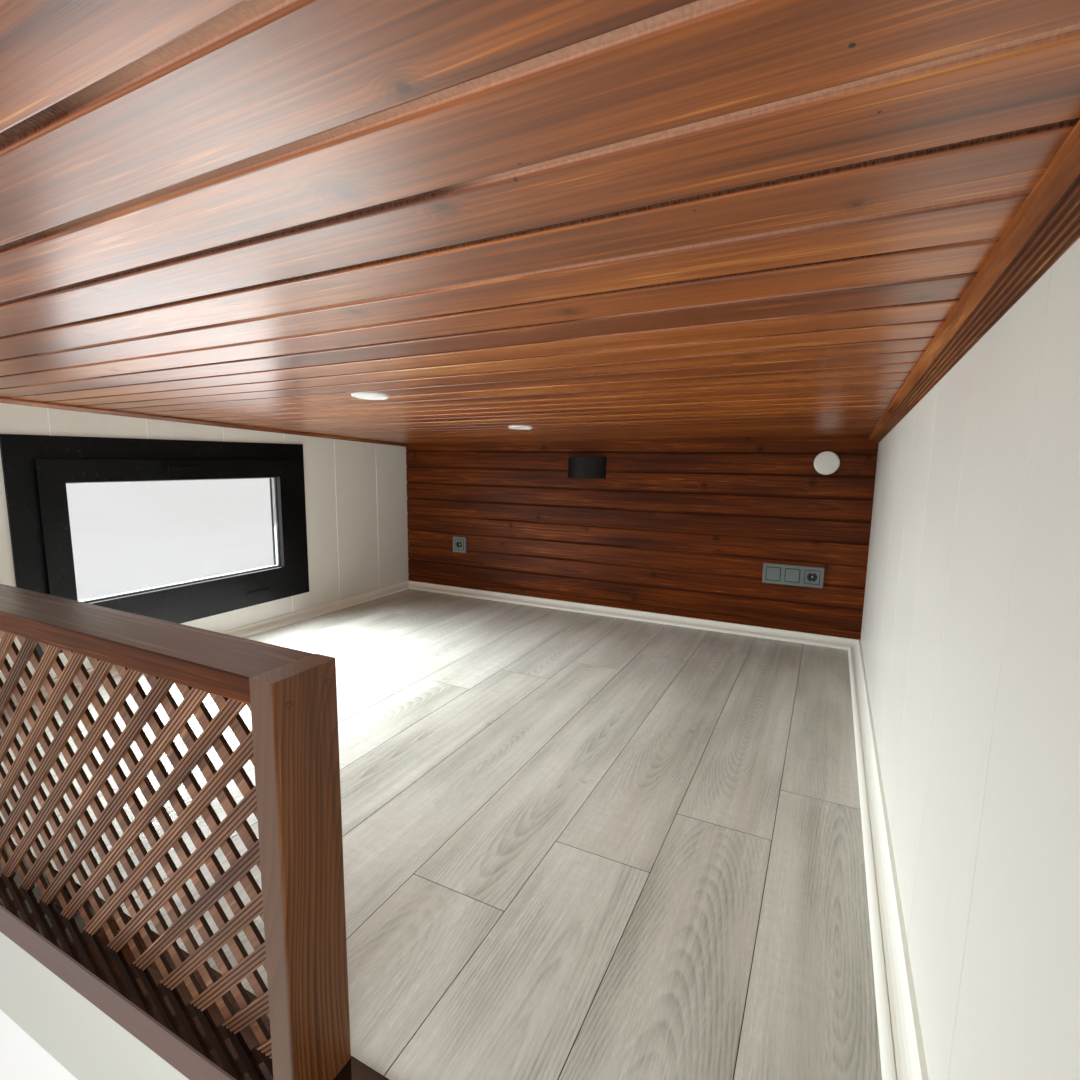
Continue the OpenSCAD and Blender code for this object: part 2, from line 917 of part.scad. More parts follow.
// Frame of a row of switch and socket modules, centred on x
module socket_frame(x, count) {
    width = count * module_w + (socket_h - module_w);
    insert = socket_h - 2 * module_rim;
    corner_r = 4;
    translate([x, y_end, z_floor + socket_z])
        rotate([90, 0, 0])
            difference() {
                linear_extrude(socket_t)
                    offset(r = corner_r, $fn = 24)
                        square([width - 2 * corner_r, socket_h - 2 * corner_r], center = true);
                for (i = [0 : count - 1])
                    translate([(i - (count - 1) / 2) * module_w, 0, socket_t - 1.5])
                        difference() {
                            linear_extrude(3) square(insert, center = true);
                            linear_extrude(3) square(insert - 2, center = true);
                        }
                translate([(count - 1) / 2 * module_w, 0, 2]) cylinder(d = socket_well_d, h = socket_t);
            }
}

module single_socket() {
    color(fitting_grey) socket_frame(-x_panel + single_x, 1);
}

module triple_socket() {
    color(fitting_grey) socket_frame(x_panel - triple_x, 3);
}

underside_lining();
floor_joists();
deck_board();
plank_floor();
front_fascia();
edge_board();
edge_batten();
left_wall_core();
right_wall_core();
end_wall_core();
left_wall_panel();
right_wall_panel();
end_wall_boards();
ceiling_boards();
left_cladding();
right_cladding();
end_cladding();
left_corner_trim();
right_corner_trim();
left_front_jamb();
right_front_jamb();
roof_core();
roof_sheet();
roof_front_fascia();
roof_rear_fascia();
roof_verges();
window_frame();
window_sash();
window_glass();
window_handle();
window_reveal();
left_skirting();
end_skirting();
right_skirting();
left_cornice();
right_cornice();
top_rail();
end_post();
wall_post();
lattice();
ceiling_spots();
wall_lamp();
vent_disc();
single_socket();
triple_socket();
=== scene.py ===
import math

import bmesh
import bpy
from mathutils import Matrix, Vector


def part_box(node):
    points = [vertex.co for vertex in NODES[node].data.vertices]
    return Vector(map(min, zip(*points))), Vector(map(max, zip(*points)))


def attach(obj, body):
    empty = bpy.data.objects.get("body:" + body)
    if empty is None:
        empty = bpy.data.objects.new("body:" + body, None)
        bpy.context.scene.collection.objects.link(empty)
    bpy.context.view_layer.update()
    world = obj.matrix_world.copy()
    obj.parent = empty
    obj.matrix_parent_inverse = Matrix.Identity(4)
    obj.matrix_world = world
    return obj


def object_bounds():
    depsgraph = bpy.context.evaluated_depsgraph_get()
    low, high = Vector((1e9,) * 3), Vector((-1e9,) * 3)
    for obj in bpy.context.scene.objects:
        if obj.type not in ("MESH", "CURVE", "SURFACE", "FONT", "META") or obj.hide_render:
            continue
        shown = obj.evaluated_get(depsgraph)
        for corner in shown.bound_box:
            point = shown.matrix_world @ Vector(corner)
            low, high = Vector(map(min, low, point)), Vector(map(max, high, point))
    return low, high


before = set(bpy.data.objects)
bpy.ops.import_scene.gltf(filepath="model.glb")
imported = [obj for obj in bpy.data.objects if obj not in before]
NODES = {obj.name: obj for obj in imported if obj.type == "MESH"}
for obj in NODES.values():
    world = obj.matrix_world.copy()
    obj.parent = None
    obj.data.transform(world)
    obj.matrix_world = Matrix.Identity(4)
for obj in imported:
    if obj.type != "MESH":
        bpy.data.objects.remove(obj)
CAD_LOW, CAD_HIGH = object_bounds()

# Stained boards, in metres. The first joint is counted from the end wall on the ceiling, and from the
# floor on the end wall
BOARD_COVER = 0.0902
CEILING_FIRST = 0.091
END_FIRST = 0.069
SLAT_PITCH = 0.069

# Slopes of the ceiling along the room and across it
ROOF_PITCH = math.radians(2.62)
ROOF_CROSS = math.radians(0.74)

# Floor planks: the first row's end joint from the end wall, how far each row's joint moves on, and the
# rows until that starts again
PLANK_W = 0.193
PLANK_L = 1.38
PLANK_GAP = 0.016
PLANK_FIRST = 1.27
PLANK_STEP = 0.2045
PLANK_ROWS = 7.0

# Places taken from the frame
Z_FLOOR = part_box("plank_floor")[1].z
X_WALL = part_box("right_wall_panel")[0].x
Y_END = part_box("end_wall_boards")[0].y
Z_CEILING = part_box("end_wall_boards")[1].z - X_WALL * math.tan(ROOF_CROSS)
EDGE_LOW, EDGE_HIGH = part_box("edge_board")
RAIL_LOW, RAIL_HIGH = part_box("top_rail")
POST_LOW, POST_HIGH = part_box("end_post")
LATTICE_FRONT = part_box("lattice")[0].y
Y_LATTICE = (RAIL_LOW.y + RAIL_HIGH.y) / 2
FRAME_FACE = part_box("window_frame")[1].x
GLASS_LOW, GLASS_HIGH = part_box("window_glass")


class Graph:
    """Adds nodes to one material. A value may be a number, a tuple or another node's output."""

    def __init__(self, name, tree=None):
        if tree is None:
            self.material = bpy.data.materials.new(name)
            self.material.use_nodes = True
            tree = self.material.node_tree
        self.tree = tree
        self.tree.nodes.clear()

    def add(self, kind, values=(), **settings):
        node = self.tree.nodes.new(kind)
        for key, value in settings.items():
            setattr(node, key, value)
        for key, value in values:
            self.plug(node.inputs[key], value)
        return node

    def plug(self, socket, value):
        if isinstance(value, bpy.types.NodeSocket):
            self.tree.links.new(value, socket)
        else:
            socket.default_value = value

    def math(self, operation, *values):
        return self.add("ShaderNodeMath", enumerate(values), operation=operation).outputs[0]

    def add_up(self, *values):
        total = values[0]
        for value in values[1:]:
            total = self.math("ADD", total, value)
        return total

    def times(self, a, b):
        return self.math("MULTIPLY", a, b)

    def vector_math(self, operation, *values):
        return self.add("ShaderNodeVectorMath", enumerate(values), operation=operation).outputs[0]

    def fit(self, value, low, high, to_low=0.0, to_high=1.0, smooth=False):
        """Moves a value from one range to another, held at both ends. low may be the greater one."""
        values = (("Value", value), ("From Min", low), ("From Max", high),
                  ("To Min", to_low), ("To Max", to_high))
        kind = "SMOOTHSTEP" if smooth else "LINEAR"
        return self.add("ShaderNodeMapRange", values, interpolation_type=kind, clamp=True).outputs[0]

    def place(self):
        """The point being shaded, in the frame's metres."""
        return self.add("ShaderNodeTexCoord").outputs["Object"]

    def position(self):
        """The point being shaded, as three numbers."""
        return self.add("ShaderNodeSeparateXYZ", (("Vector", self.place()),)).outputs

    def scaled(self, *scales):
        """The point being shaded, with a factor for each axis."""
        return self.vector_math("MULTIPLY", self.place(), scales)

    def facing(self):
        """The way the surface faces, as three numbers."""
        normal = self.add("ShaderNodeNewGeometry").outputs["Normal"]
        return self.add("ShaderNodeSeparateXYZ", (("Vector", normal),)).outputs

    def seen(self):
        """1 for the camera, mirrors and glass, and 0 for the light that a surface gathers."""
        path = self.add("ShaderNodeLightPath").outputs
        return self.math("MAXIMUM", self.math("MAXIMUM", path["Is Camera Ray"], path["Is Glossy Ray"]),
                         path["Is Transmission Ray"])

    def vector(self, x, y, z):
        return self.add("ShaderNodeCombineXYZ", (("X", x), ("Y", y), ("Z", z))).outputs[0]

    def noise(self, vector, scale, detail=2.0, roughness=0.5):
        values = (("Vector", vector), ("Scale", scale), ("Detail", detail), ("Roughness", roughness))
        return self.add("ShaderNodeTexNoise", values).outputs["Fac"]

    def chance(self, value):
        """Three random numbers that depend on one value."""
        node = self.add("ShaderNodeTexWhiteNoise", (("W", value),), noise_dimensions="1D")
        return self.add("ShaderNodeSeparateColor", (("Color", node.outputs["Color"]),)).outputs

    def ramp(self, value, stops):
        node = self.add("ShaderNodeValToRGB", (("Fac", value),))
        elements = node.color_ramp.elements
        while len(elements) < len(stops):
            elements.new(0.5)
        for element, (place, colour) in zip(elements, stops):
            element.position = place
            element.color = (*colour, 1.0)
        return node.outputs["Color"]

    def mix(self, amount, a, b, blend="MIX"):
        node = self.add("ShaderNodeMix", data_type="RGBA", blend_type=blend)
        self.plug(node.inputs[0], amount)
        for socket, value in ((node.inputs[6], a), (node.inputs[7], b)):
            self.plug(socket, value if isinstance(value, bpy.types.NodeSocket) else (*value, 1.0))
        return node.outputs[2]

    def bump(self, height, distance, strength):
        values = (("Height", height), ("Distance", distance), ("Strength", strength))
        return self.add("ShaderNodeBump", values).outputs["Normal"]

    def finish(self, colour, roughness, normal=None, **sockets):
        shader = self.add("ShaderNodeBsdfPrincipled")
        if not isinstance(colour, bpy.types.NodeSocket):
            colour = (*colour, 1.0)
        self.plug(shader.inputs["Base Color"], colour)
        self.plug(shader.inputs["Roughness"], roughness)
        if normal is not None:
            self.plug(shader.inputs["Normal"], normal)
        for key, value in sockets.items():
            self.plug(shader.inputs[key.replace("_", " ")], value)
        output = self.add("ShaderNodeOutputMaterial")
        self.tree.links.new(shader.outputs[0], output.inputs["Surface"])
        return self.material


def srgb(red, green, blue):
    """A colour written as 0 to 255, as linear values."""
    def linear(value):
        value /= 255
        return value / 12.92 if value <= 0.04045 else ((value + 0.055) / 1.055) ** 2.4
    return tuple(linear(value) for value in (red, green, blue))


def shaded(colour, factor):
    """A colour made darker or lighter by a factor."""
    return tuple(factor * part for part in colour)


def centred(g, value, amount):
    """A noise value moved to swing around zero, times amount."""
    return g.times(g.math("SUBTRACT", value, 0.5), amount)


# Wood. Waves are how many a noise has to the metre, along the grain and across it

SWAY_WAVES = (1.6, 5.0)
PINE_CLOUD = (1.7, 8.0)
PINE_FIBRE = (11.0, 620.0)
PINE_STREAK = (1.5, 95.0)
PINE_SMEAR = (2.1, 26.0)
PINE_DASH = (9.0, 300.0)
PINE_UNEVEN = (0.9, 60.0)
PINE_STOPS = (0.0, 0.34, 0.64, 1.0)
PINE_PITH = 0.07
KNOT_CELL = (0.52, BOARD_COVER)
KNOT_RADIUS = 0.009
PIN_CELL = (0.24, BOARD_COVER)
PIN_RADIUS = 0.0017
SAW_WAVES = (480.0, 190.0)
PALE_WAVES = (1.9, 3.1)
STRIP_DEPTH = (0.0012, 0.0026)
JOINT_SHADE_DEPTH = (0.0044, 0.0054)
FLUTE_SHADE_DEPTH = (0.0003, 0.0011)
SLAT_FLUTES = 0.0018
SLAT_CROSSING = 0.0005
CORNICE_PITCH = 0.00504
CORNICE_FLUTES = 5.0
CORNICE_VALLEY = 0.0012
PIN_TONE = srgb(22, 12, 8)
BACKLIT_TONE = srgb(100, 98, 96)


def stretched(g, place, seed, waves, detail=1.0, roughness=0.5):
    """Noise drawn out along the grain. seed chooses another part of it."""
    along, across, depth = place
    lengthways, crossways = waves
    inward = g.add_up(g.times(depth, crossways), seed)
    spot = g.vector(g.times(along, lengthways), g.times(across, crossways), inward)
    return g.noise(spot, 1.0, detail, roughness)


def rings(g, place, seed, wander, pith, tilt):
    """Distance to the heart of the tree, which makes a board's figure, and three random numbers.

    The heart lies up to about pith from the board, leaves it at up to tilt, and sways by wander.
    """
    along, across, depth = place
    chance = g.chance(g.math("ADD", g.times(seed, 7.31), 0.37))
    centre = g.fit(chance[0], 0, 1, -pith, pith)
    below = g.fit(chance[1], 0, 1, 0.25 * pith, 1.3 * pith)
    lean = g.fit(chance[2], 0, 1, -tilt, tilt)
    sway = centred(g, stretched(g, place, g.times(seed, 13.0), SWAY_WAVES), wander)
    u = g.add_up(across, centre, sway)
    v = g.add_up(depth, below, g.times(along, lean), g.times(sway, 1.7))
    return g.math("SQRT", g.add_up(g.times(u, u), g.times(v, v))), chance


def knots(g, along, across, seed, cell, radius, share):
    """Distance to the nearest knot, counted in its radius, and 1 where that knot exists."""
    shift = g.times(seed, 3.77)
    place = g.vector(g.math("ADD", g.math("DIVIDE", along, cell[0]), shift),
                     g.math("ADD", g.math("DIVIDE", across, cell[1]), shift), 0.0)
    cells = g.add("ShaderNodeTexVoronoi", (("Vector", place), ("Scale", 1.0), ("Randomness", 0.75)),
                  voronoi_dimensions="2D").outputs
    away = g.vector_math("MULTIPLY", g.vector_math("SUBTRACT", place, cells["Position"]), (*cell, 0))
    distance = g.add("ShaderNodeVectorMath", ((0, away),), operation="LENGTH").outputs["Value"]
    chance = g.add("ShaderNodeSeparateColor", (("Color", cells["Color"]),)).outputs
    here = g.math("LESS_THAN", chance[0], share)
    size = g.fit(chance[1], 0, 1, 0.5 * radius, radius)
    return g.math("DIVIDE", distance, size), here


def bent(g, radius, knot, here, narrow, push):
    """Pushes the rings out around the knots, by up to push. A greater narrow keeps it nearer to them."""
    bulge = g.times(g.math("EXPONENT", g.times(g.times(knot, knot), -narrow)), here)
    return g.math("ADD", radius, g.times(bulge, push))


def late_wood(g, radius, uneven, ring, swing, rise, fall):
    """The dark part of each year's ring, which comes on slowly and ends sharply past fall."""
    year = g.math("FRACT", g.add_up(g.math("DIVIDE", radius, ring), g.times(uneven, swing)))
    return g.times(g.math("POWER", year, rise), g.fit(year, 1.0, fall, smooth=True))


def knot_mark(g, knot, here, outer, inner):
    """1 inside a knot, fading to 0 between two distances from its middle."""
    return g.times(g.fit(knot, outer, inner, smooth=True), here)


class Surface:
    """Colour, roughness and varnish of a wood, which the steps below change."""

    def __init__(self, g, colour, shine, varnish):
        self.g = g
        self.colour = colour
        self.shine = shine
        self.varnish = varnish

    def cover(self, amount, colour, blend="MIX"):
        self.colour = self.g.mix(amount, self.colour, colour, blend)

    def strip(self, amount):
        """Takes the varnish off where amount is 1."""
        self.varnish = self.g.times(self.varnish, self.g.math("SUBTRACT", 1.0, amount))


def board_edges(g, surface, place, number, chance, strip_tone, darkest):
    """The sunk strip beside a joint, dark or pale in stretches, and the joint in it, painted almost black as
    shade.
    """
    along, across, depth = place
    strip = g.fit(depth, *STRIP_DEPTH)
    saw = stretched(g, (along, across, 0.0), number, SAW_WAVES)
    pale = stretched(g, (along, number, 0.0), 0.0, PALE_WAVES, detail=0.0)
    pale = g.fit(g.add_up(pale, centred(g, chance, 0.25)), 0.5, 0.6)
    # On the ceiling the strip is stained dark or left pale in stretches; the end wall and cladding pass
    # SHADE_TONE, so theirs is painted shade.
    colour = g.mix(pale, *strip_tone)
    colour = g.mix(g.times(g.fit(saw, 0.3, 0.7), 0.4), colour, shaded(strip_tone[1], 0.55))
    surface.cover(g.times(strip, 0.92), colour)
    # Painted shade: the bottom of the joint is coloured almost black, as the shade in it.
    surface.cover(g.fit(depth, *JOINT_SHADE_DEPTH), shaded(darkest, 0.12))
    surface.shine = g.math("ADD", surface.shine, g.times(strip, 0.4))
    surface.strip(strip)


def painted_top_faces(g, surface, tone, smear, dark, light, shine):
    """Faces that look up: a painted sheen or shade in their colour, and a full, handled coat of varnish."""
    upward = g.fit(g.facing()[2], 0.6, 0.9)
    # Painted light: up-facing faces get a grey sheen on the rail and post, and deep shade on the floor edge.
    surface.cover(upward, g.mix(g.fit(tone, 0.3, 0.7), dark, light))
    surface.strip(upward)
    surface.varnish = g.math("ADD", surface.varnish, upward)
    surface.shine = g.add_up(g.times(surface.shine, g.math("SUBTRACT", 1.0, upward)), g.times(upward, shine),
                             g.times(centred(g, smear, 0.2), upward))


def pine(name, ways, seed, tones, ring=0.0062, figure=0.2, contrast=1.0, plain=0.5, wander=0.02, tilt=0.03,
         knot_share=0.35, pins=0.0, gloss=0.34, specular=0.5, coat=0.5, coat_rough=0.28,
         strip_tone=None, flutes=None, backlit=None, front=None, top=None):
    """Stained pine. ways says how each coordinate runs: along the grain, across it and into the wood.

    tones go from dark to light, and plain is where wood without figure lies between them. strip_tone, dark
    and light, is for boards with sunk edges. flutes gives a depth whose valleys get painted shade and no
    varnish, and backlit is 1 on what stands against the light, which gets painted shade. front holds a colour
    of painted light and how much of it lies on faces to the front, and top holds the dark and light colours
    of painted sheen or shade on faces that look up, and their roughness.
    """
    g = Graph(name)
    coords = dict(zip("xyz", g.position()))
    place = [way(g, coords) for way in ways]
    along, across = place[:2]
    number = seed(g, coords)
    radius, chance = rings(g, place, number, wander, PINE_PITH, tilt)
    knot, here = knots(g, along, across, number, KNOT_CELL, KNOT_RADIUS, knot_share)
    radius = bent(g, radius, knot, here, narrow=0.16, push=0.018)
    uneven = stretched(g, (along, radius, 0.0), number, PINE_UNEVEN)
    cloud = stretched(g, place, number, PINE_CLOUD)
    late = late_wood(g, radius, uneven, ring, swing=2.4, rise=1.7, fall=0.80)
    late = g.times(late, g.fit(cloud, 0.35, 0.65, 0.35, 1.0))
    fibre = stretched(g, place, 0.0, PINE_FIBRE, roughness=0.7)
    streak = stretched(g, place, number, PINE_STREAK, detail=2.0, roughness=0.7)
    smear = stretched(g, place, number, PINE_SMEAR, detail=2.0, roughness=0.6)
    dash = stretched(g, place, number, PINE_DASH, detail=0.0)
    dash = g.times(g.fit(dash, 0.60, 0.74), g.fit(smear, 0.48, 0.58))
    grain = g.add_up(centred(g, fibre, 0.3), centred(g, streak, 1.0), centred(g, smear, 0.9),
                     centred(g, cloud, 0.9), g.times(dash, 0.45))
    tone = g.add_up(g.times(late, -figure), g.times(grain, contrast), centred(g, chance[0], 0.24), plain)
    shine = g.add_up(gloss, centred(g, streak, 0.16), centred(g, smear, 0.12), g.times(late, 0.04))

    surface = Surface(g, g.ramp(tone, list(zip(PINE_STOPS, tones))), shine, coat)
    blotch = g.fit(g.times(smear, streak), 0.16, 0.10)
    for amount, strength in ((blotch, 0.45), (knot_mark(g, knot, here, 1.15, 0.55), 0.75),
                             (knot_mark(g, knot, here, 3.6, 1.0), 0.4)):
        surface.cover(g.times(amount, strength), tones[0])
    if pins:
        pin, pin_here = knots(g, along, across, g.math("ADD", number, 17.0), PIN_CELL, PIN_RADIUS, pins)
        surface.cover(g.times(g.fit(pin, 1.3, 0.8), pin_here), PIN_TONE)
    if strip_tone is not None:
        board_edges(g, surface, place, number, chance[1], strip_tone, tones[0])
    if flutes is not None:
        # Painted shade: the flute valleys are coloured darker, as the shade in them, and left bare.
        inside = g.fit(flutes(g, coords), *FLUTE_SHADE_DEPTH)
        surface.cover(g.times(inside, 0.75), shaded(tones[0], 0.5))
        surface.strip(inside)
    if backlit is not None:
        # Painted shade: the back slats, which stand against the light, are darkened by BACKLIT_TONE.
        surface.cover(backlit(g, coords), BACKLIT_TONE, "MULTIPLY")
    # Painted light: faces to the front get a greyer taupe colour for the light that falls on them.
    if front is not None:
        colour, amount = front
        surface.cover(g.times(g.fit(g.facing()[1], -0.6, -0.9), amount), colour)
    if top is not None:
        painted_top_faces(g, surface, tone, smear, *top)
    return g.finish(surface.colour, surface.shine, g.bump(g.times(fibre, 0.6), 0.0004, 0.4),
                    Specular_IOR_Level=specular, Coat_Weight=surface.varnish, Coat_Roughness=coat_rough)


# Ways that a coordinate can run. Each is a function that adds its nodes to a graph

def axis(name, sign=1.0, offset=0.0):
    """One axis of the frame, turned by sign and moved by offset."""
    def build(g, coords):
        return g.math("MULTIPLY_ADD", coords[name], sign, offset)
    return build


def fixed(value):
    """The same number everywhere, for a piece that is one length of timber."""
    def build(g, coords):
        return value
    return build


def above_slope(g, coords):
    """Height over the ceiling's corner line, turned upright across the roof."""
    rise = g.math("MULTIPLY_ADD", coords["z"], math.cos(ROOF_CROSS), -Z_CEILING * math.cos(ROOF_CROSS))
    return g.math("ADD", rise, g.times(coords["x"], -math.sin(ROOF_CROSS)))


def slope_run(g, coords):
    """Distance along the ceiling from the end wall."""
    level = g.math("MULTIPLY_ADD", coords["y"], -math.cos(ROOF_PITCH), Y_END * math.cos(ROOF_PITCH))
    return g.math("ADD", level, g.times(above_slope(g, coords), math.sin(ROOF_PITCH)))


def slope_depth(g, coords):
    """Distance above the ceiling face."""
    level = g.math("MULTIPLY_ADD", coords["y"], math.sin(ROOF_PITCH), -Y_END * math.sin(ROOF_PITCH))
    return g.math("ADD", level, g.times(above_slope(g, coords), math.cos(ROOF_PITCH)))


def board_count(g, coords, run, first):
    """Boards between the first joint and a point."""
    return g.math("DIVIDE", g.math("SUBTRACT", run(g, coords), first), BOARD_COVER)


def board_number(run, first, start):
    """Which board a point is on, counted along run from start."""
    def build(g, coords):
        return g.math("ADD", g.math("FLOOR", board_count(g, coords, run, first)), start)
    return build


def board_middle(run, first):
    """Place across one board, from its middle."""
    def build(g, coords):
        return g.times(centred(g, g.math("FRACT", board_count(g, coords, run, first)), 1.0), BOARD_COVER)
    return build


def slat_direction(lean):
    """Along a slat: the front slats lean right, the back ones left."""
    def build(g, coords):
        back = g.math("GREATER_THAN", coords["y"], Y_LATTICE)
        side = g.math("MULTIPLY_ADD", back, -2.0, 1.0)
        across = g.times(g.math("SUBTRACT", coords["x"], POST_LOW.x), side)
        total = g.math("ADD", g.math("SUBTRACT", coords["z"], EDGE_HIGH.z), g.times(across, lean))
        return g.times(total, math.sqrt(0.5))
    return build


def slat_number(g, coords):
    """Which slat a point is on. The back ones start 50 further on."""
    steps = g.math("DIVIDE", slat_direction(-1.0)(g, coords), SLAT_PITCH * math.sqrt(0.5))
    back = g.math("GREATER_THAN", coords["y"], Y_LATTICE)
    return g.math("ADD", g.math("ROUND", steps), g.times(back, 50.0))


def slat_behind(g, coords):
    """1 on the back slats, which stand against the light."""
    return g.math("GREATER_THAN", coords["y"], Y_LATTICE + SLAT_CROSSING)


def slat_flute(g, coords):
    """Depth under the front of the front slats, and zero on the back ones."""
    depth = g.math("SUBTRACT", coords["y"], LATTICE_FRONT)
    return g.times(depth, g.math("LESS_THAN", depth, SLAT_FLUTES))


def cornice_flute(g, coords):
    """A depth for the flutes of the right cornice, counted from the wall."""
    place = g.math("DIVIDE", g.math("SUBTRACT", X_WALL, coords["x"]), CORNICE_PITCH)
    off = g.math("ABSOLUTE", centred(g, g.math("FRACT", place), 1.0))
    valley = g.fit(off, 0.44, 0.24, 0.0, CORNICE_VALLEY)
    return g.times(valley, g.math("LESS_THAN", place, CORNICE_FLUTES))


# Other materials

def white_panel(name, tint, gloss=0.42):
    """Matt white foil with a faint unevenness, soft handling marks, and a painted highlight in the grooves.
    """
    g = Graph(name)
    place = g.place()
    broad = g.noise(place, 2.2, 1.0)
    marks = g.fit(g.noise(g.scaled(9.0, 9.0, 3.0), 1.0, 2.0, 0.7), 0.64, 0.78)
    fine = g.noise(place, 420.0, 0.0)
    shade = g.add_up(centred(g, broad, 0.10), centred(g, fine, 0.05), g.times(marks, -0.12), 0.5)
    colour = g.ramp(shade, [(0.35, shaded(tint, 0.95)), (0.65, tint)])
    # Painted highlight: the grooves of the panels are coloured brighter, as the light caught in them.
    groove_highlight = g.fit(g.math("SUBTRACT", g.math("ABSOLUTE", g.position()[0]), X_WALL), 0.0004, 0.0012)
    colour = g.mix(g.times(groove_highlight, 0.85), colour, srgb(253, 253, 249))
    roughness = g.math("ADD", g.fit(broad, 0.3, 0.7, gloss - 0.05, gloss + 0.06), g.times(marks, 0.1))
    return g.finish(colour, roughness, g.bump(g.noise(place, 160.0, 0.0), 0.00015, 0.35))


OAK_CLOUD = (2.1, 9.0)
OAK_PORES = (24.0, 820.0)
OAK_FIBRE = (55.0, 430.0)
OAK_STREAK = (1.9, 62.0)
OAK_RIPPLE = (85.0, 22.0)
OAK_WARMTH = (1.2, 12.0)
OAK_UNEVEN = (0.8, 34.0)
OAK_PITH = 0.03
OAK_RING = 0.0052
OAK_KNOT_CELL = (0.9, PLANK_W)
OAK_KNOT_RADIUS = 0.012
OAK_TONES = ((0.0, srgb(120, 120, 109)), (0.3, srgb(158, 159, 148)), (0.62, srgb(189, 189, 178)),
             (1.0, srgb(210, 209, 199)))


def plank_places(g):
    """Places in one plank: number, along all planks, along this one from its middle, and across it."""
    x, y, z = g.position()
    row_place = g.math("DIVIDE", g.math("SUBTRACT", X_WALL - PLANK_GAP, x), PLANK_W)
    row = g.math("FLOOR", row_place)
    across = g.times(centred(g, g.math("FRACT", row_place), 1.0), PLANK_W)
    shift = g.math("MULTIPLY_ADD", g.math("MODULO", row, PLANK_ROWS), -PLANK_STEP, Y_END - PLANK_FIRST)
    length_place = g.math("DIVIDE", g.math("SUBTRACT", y, shift), PLANK_L)
    number = g.math("ADD", g.times(row, 3.13), g.times(g.math("FLOOR", length_place), 11.7))
    along = g.math("ADD", y, g.times(number, 1.91))
    inside = g.times(centred(g, g.math("FRACT", length_place), 1.0), PLANK_L)
    return number, along, inside, across, g.math("SUBTRACT", z, Z_FLOOR)


def oak_planks():
    """Light grey oak laminate, each plank with its own figure, and painted shade in the joints."""
    g = Graph("grey_oak_planks")
    number, along, inside, across, height = plank_places(g)
    place = (along, across, 0.0)
    radius, chance = rings(g, (inside, across, 0.0), number, wander=0.024, pith=OAK_PITH, tilt=0.17)
    knot, here = knots(g, along, across, number, OAK_KNOT_CELL, OAK_KNOT_RADIUS, share=0.25)
    radius = bent(g, radius, knot, here, narrow=0.12, push=0.016)
    uneven = stretched(g, (along, radius, 0.0), number, OAK_UNEVEN)
    cloud = stretched(g, place, number, OAK_CLOUD, detail=2.0, roughness=0.6)
    pores = g.fit(stretched(g, place, number, OAK_PORES, detail=0.0), 0.58, 0.76)
    band = late_wood(g, radius, uneven, OAK_RING, swing=1.6, rise=1.5, fall=0.72)
    band = g.times(band, g.fit(cloud, 0.60, 0.42, 0.1, 1.0, smooth=True))
    band = g.times(band, g.math("MULTIPLY_ADD", pores, 0.3, 0.8))
    fibre = stretched(g, place, number, OAK_FIBRE, roughness=0.7)
    fleck = g.fit(fibre, 0.70, 0.78)
    streak = stretched(g, place, number, OAK_STREAK, detail=3.0, roughness=0.7)
    lime = g.fit(g.times(streak, fibre), 0.30, 0.42)
    ripple = stretched(g, place, number, OAK_RIPPLE, detail=0.0)
    ripple = g.times(centred(g, ripple, 0.22), g.fit(cloud, 0.54, 0.64))
    tone = g.add_up(g.times(band, -0.42), g.times(pores, -0.08), centred(g, streak, 0.55),
                    g.times(lime, 0.12), centred(g, fibre, 0.35), g.times(fleck, -0.25),
                    centred(g, cloud, 0.6), ripple, centred(g, chance[0], 0.10), 0.66)
    warmth = stretched(g, place, g.math("ADD", number, 2.0), OAK_WARMTH, detail=0.0)
    warmth = g.fit(warmth, 0.45, 0.7)
    colour = g.ramp(tone, OAK_TONES)
    colour = g.mix(g.times(warmth, 0.35), colour, srgb(224, 219, 212), "MULTIPLY")
    colour = g.mix(g.times(knot_mark(g, knot, here, 1.4, 0.4), 0.35), colour, srgb(120, 110, 98))
    # Painted shade: below the face of the planks, in the joints, the colour goes dark brown-grey.
    colour = g.mix(g.fit(height, -0.0002, -0.0006), colour, srgb(64, 57, 50))
    roughness = g.add_up(0.34, g.times(pores, 0.10), centred(g, cloud, 0.12))
    return g.finish(colour, roughness, g.bump(pores, 0.0003, -0.3))


def moulded(name, tone, gloss, specular=0.5):
    """Plastic or paint with a fine grain, a slightly uneven gloss and a little dust."""
    g = Graph(name)
    place = g.place()
    broad = g.noise(place, 6.0, 0.0)
    dust = g.fit(g.noise(place, 60.0, 2.0, 0.7), 0.62, 0.8)
    colour = g.ramp(broad, [(0.3, shaded(tone, 0.88)), (0.7, shaded(tone, 1.1))])
    colour = g.mix(g.times(dust, 0.10), colour, srgb(150, 146, 138))
    roughness = g.math("ADD", g.fit(broad, 0.3, 0.7, gloss - 0.04, gloss + 0.06), g.times(dust, 0.2))
    grain = g.noise(place, 900.0, 0.0)
    return g.finish(colour, roughness, g.bump(grain, 0.0001, 0.5), Specular_IOR_Level=specular)


def roof_metal():
    """Anthracite sheet with slight waves and dust."""
    g = Graph("anthracite_metal")
    dust = g.noise(g.scaled(3.0, 0.7, 1.0), 2.0, 4.0, 0.6)
    colour = g.ramp(dust, [(0.3, srgb(52, 56, 60)), (0.7, srgb(74, 78, 82))])
    waves = g.noise(g.scaled(1.0, 0.5, 1.0), 5.0, 1.0)
    return g.finish(colour, g.fit(dust, 0.3, 0.7, 0.34, 0.5), g.bump(waves, 0.004, 0.35), Metallic=0.2)


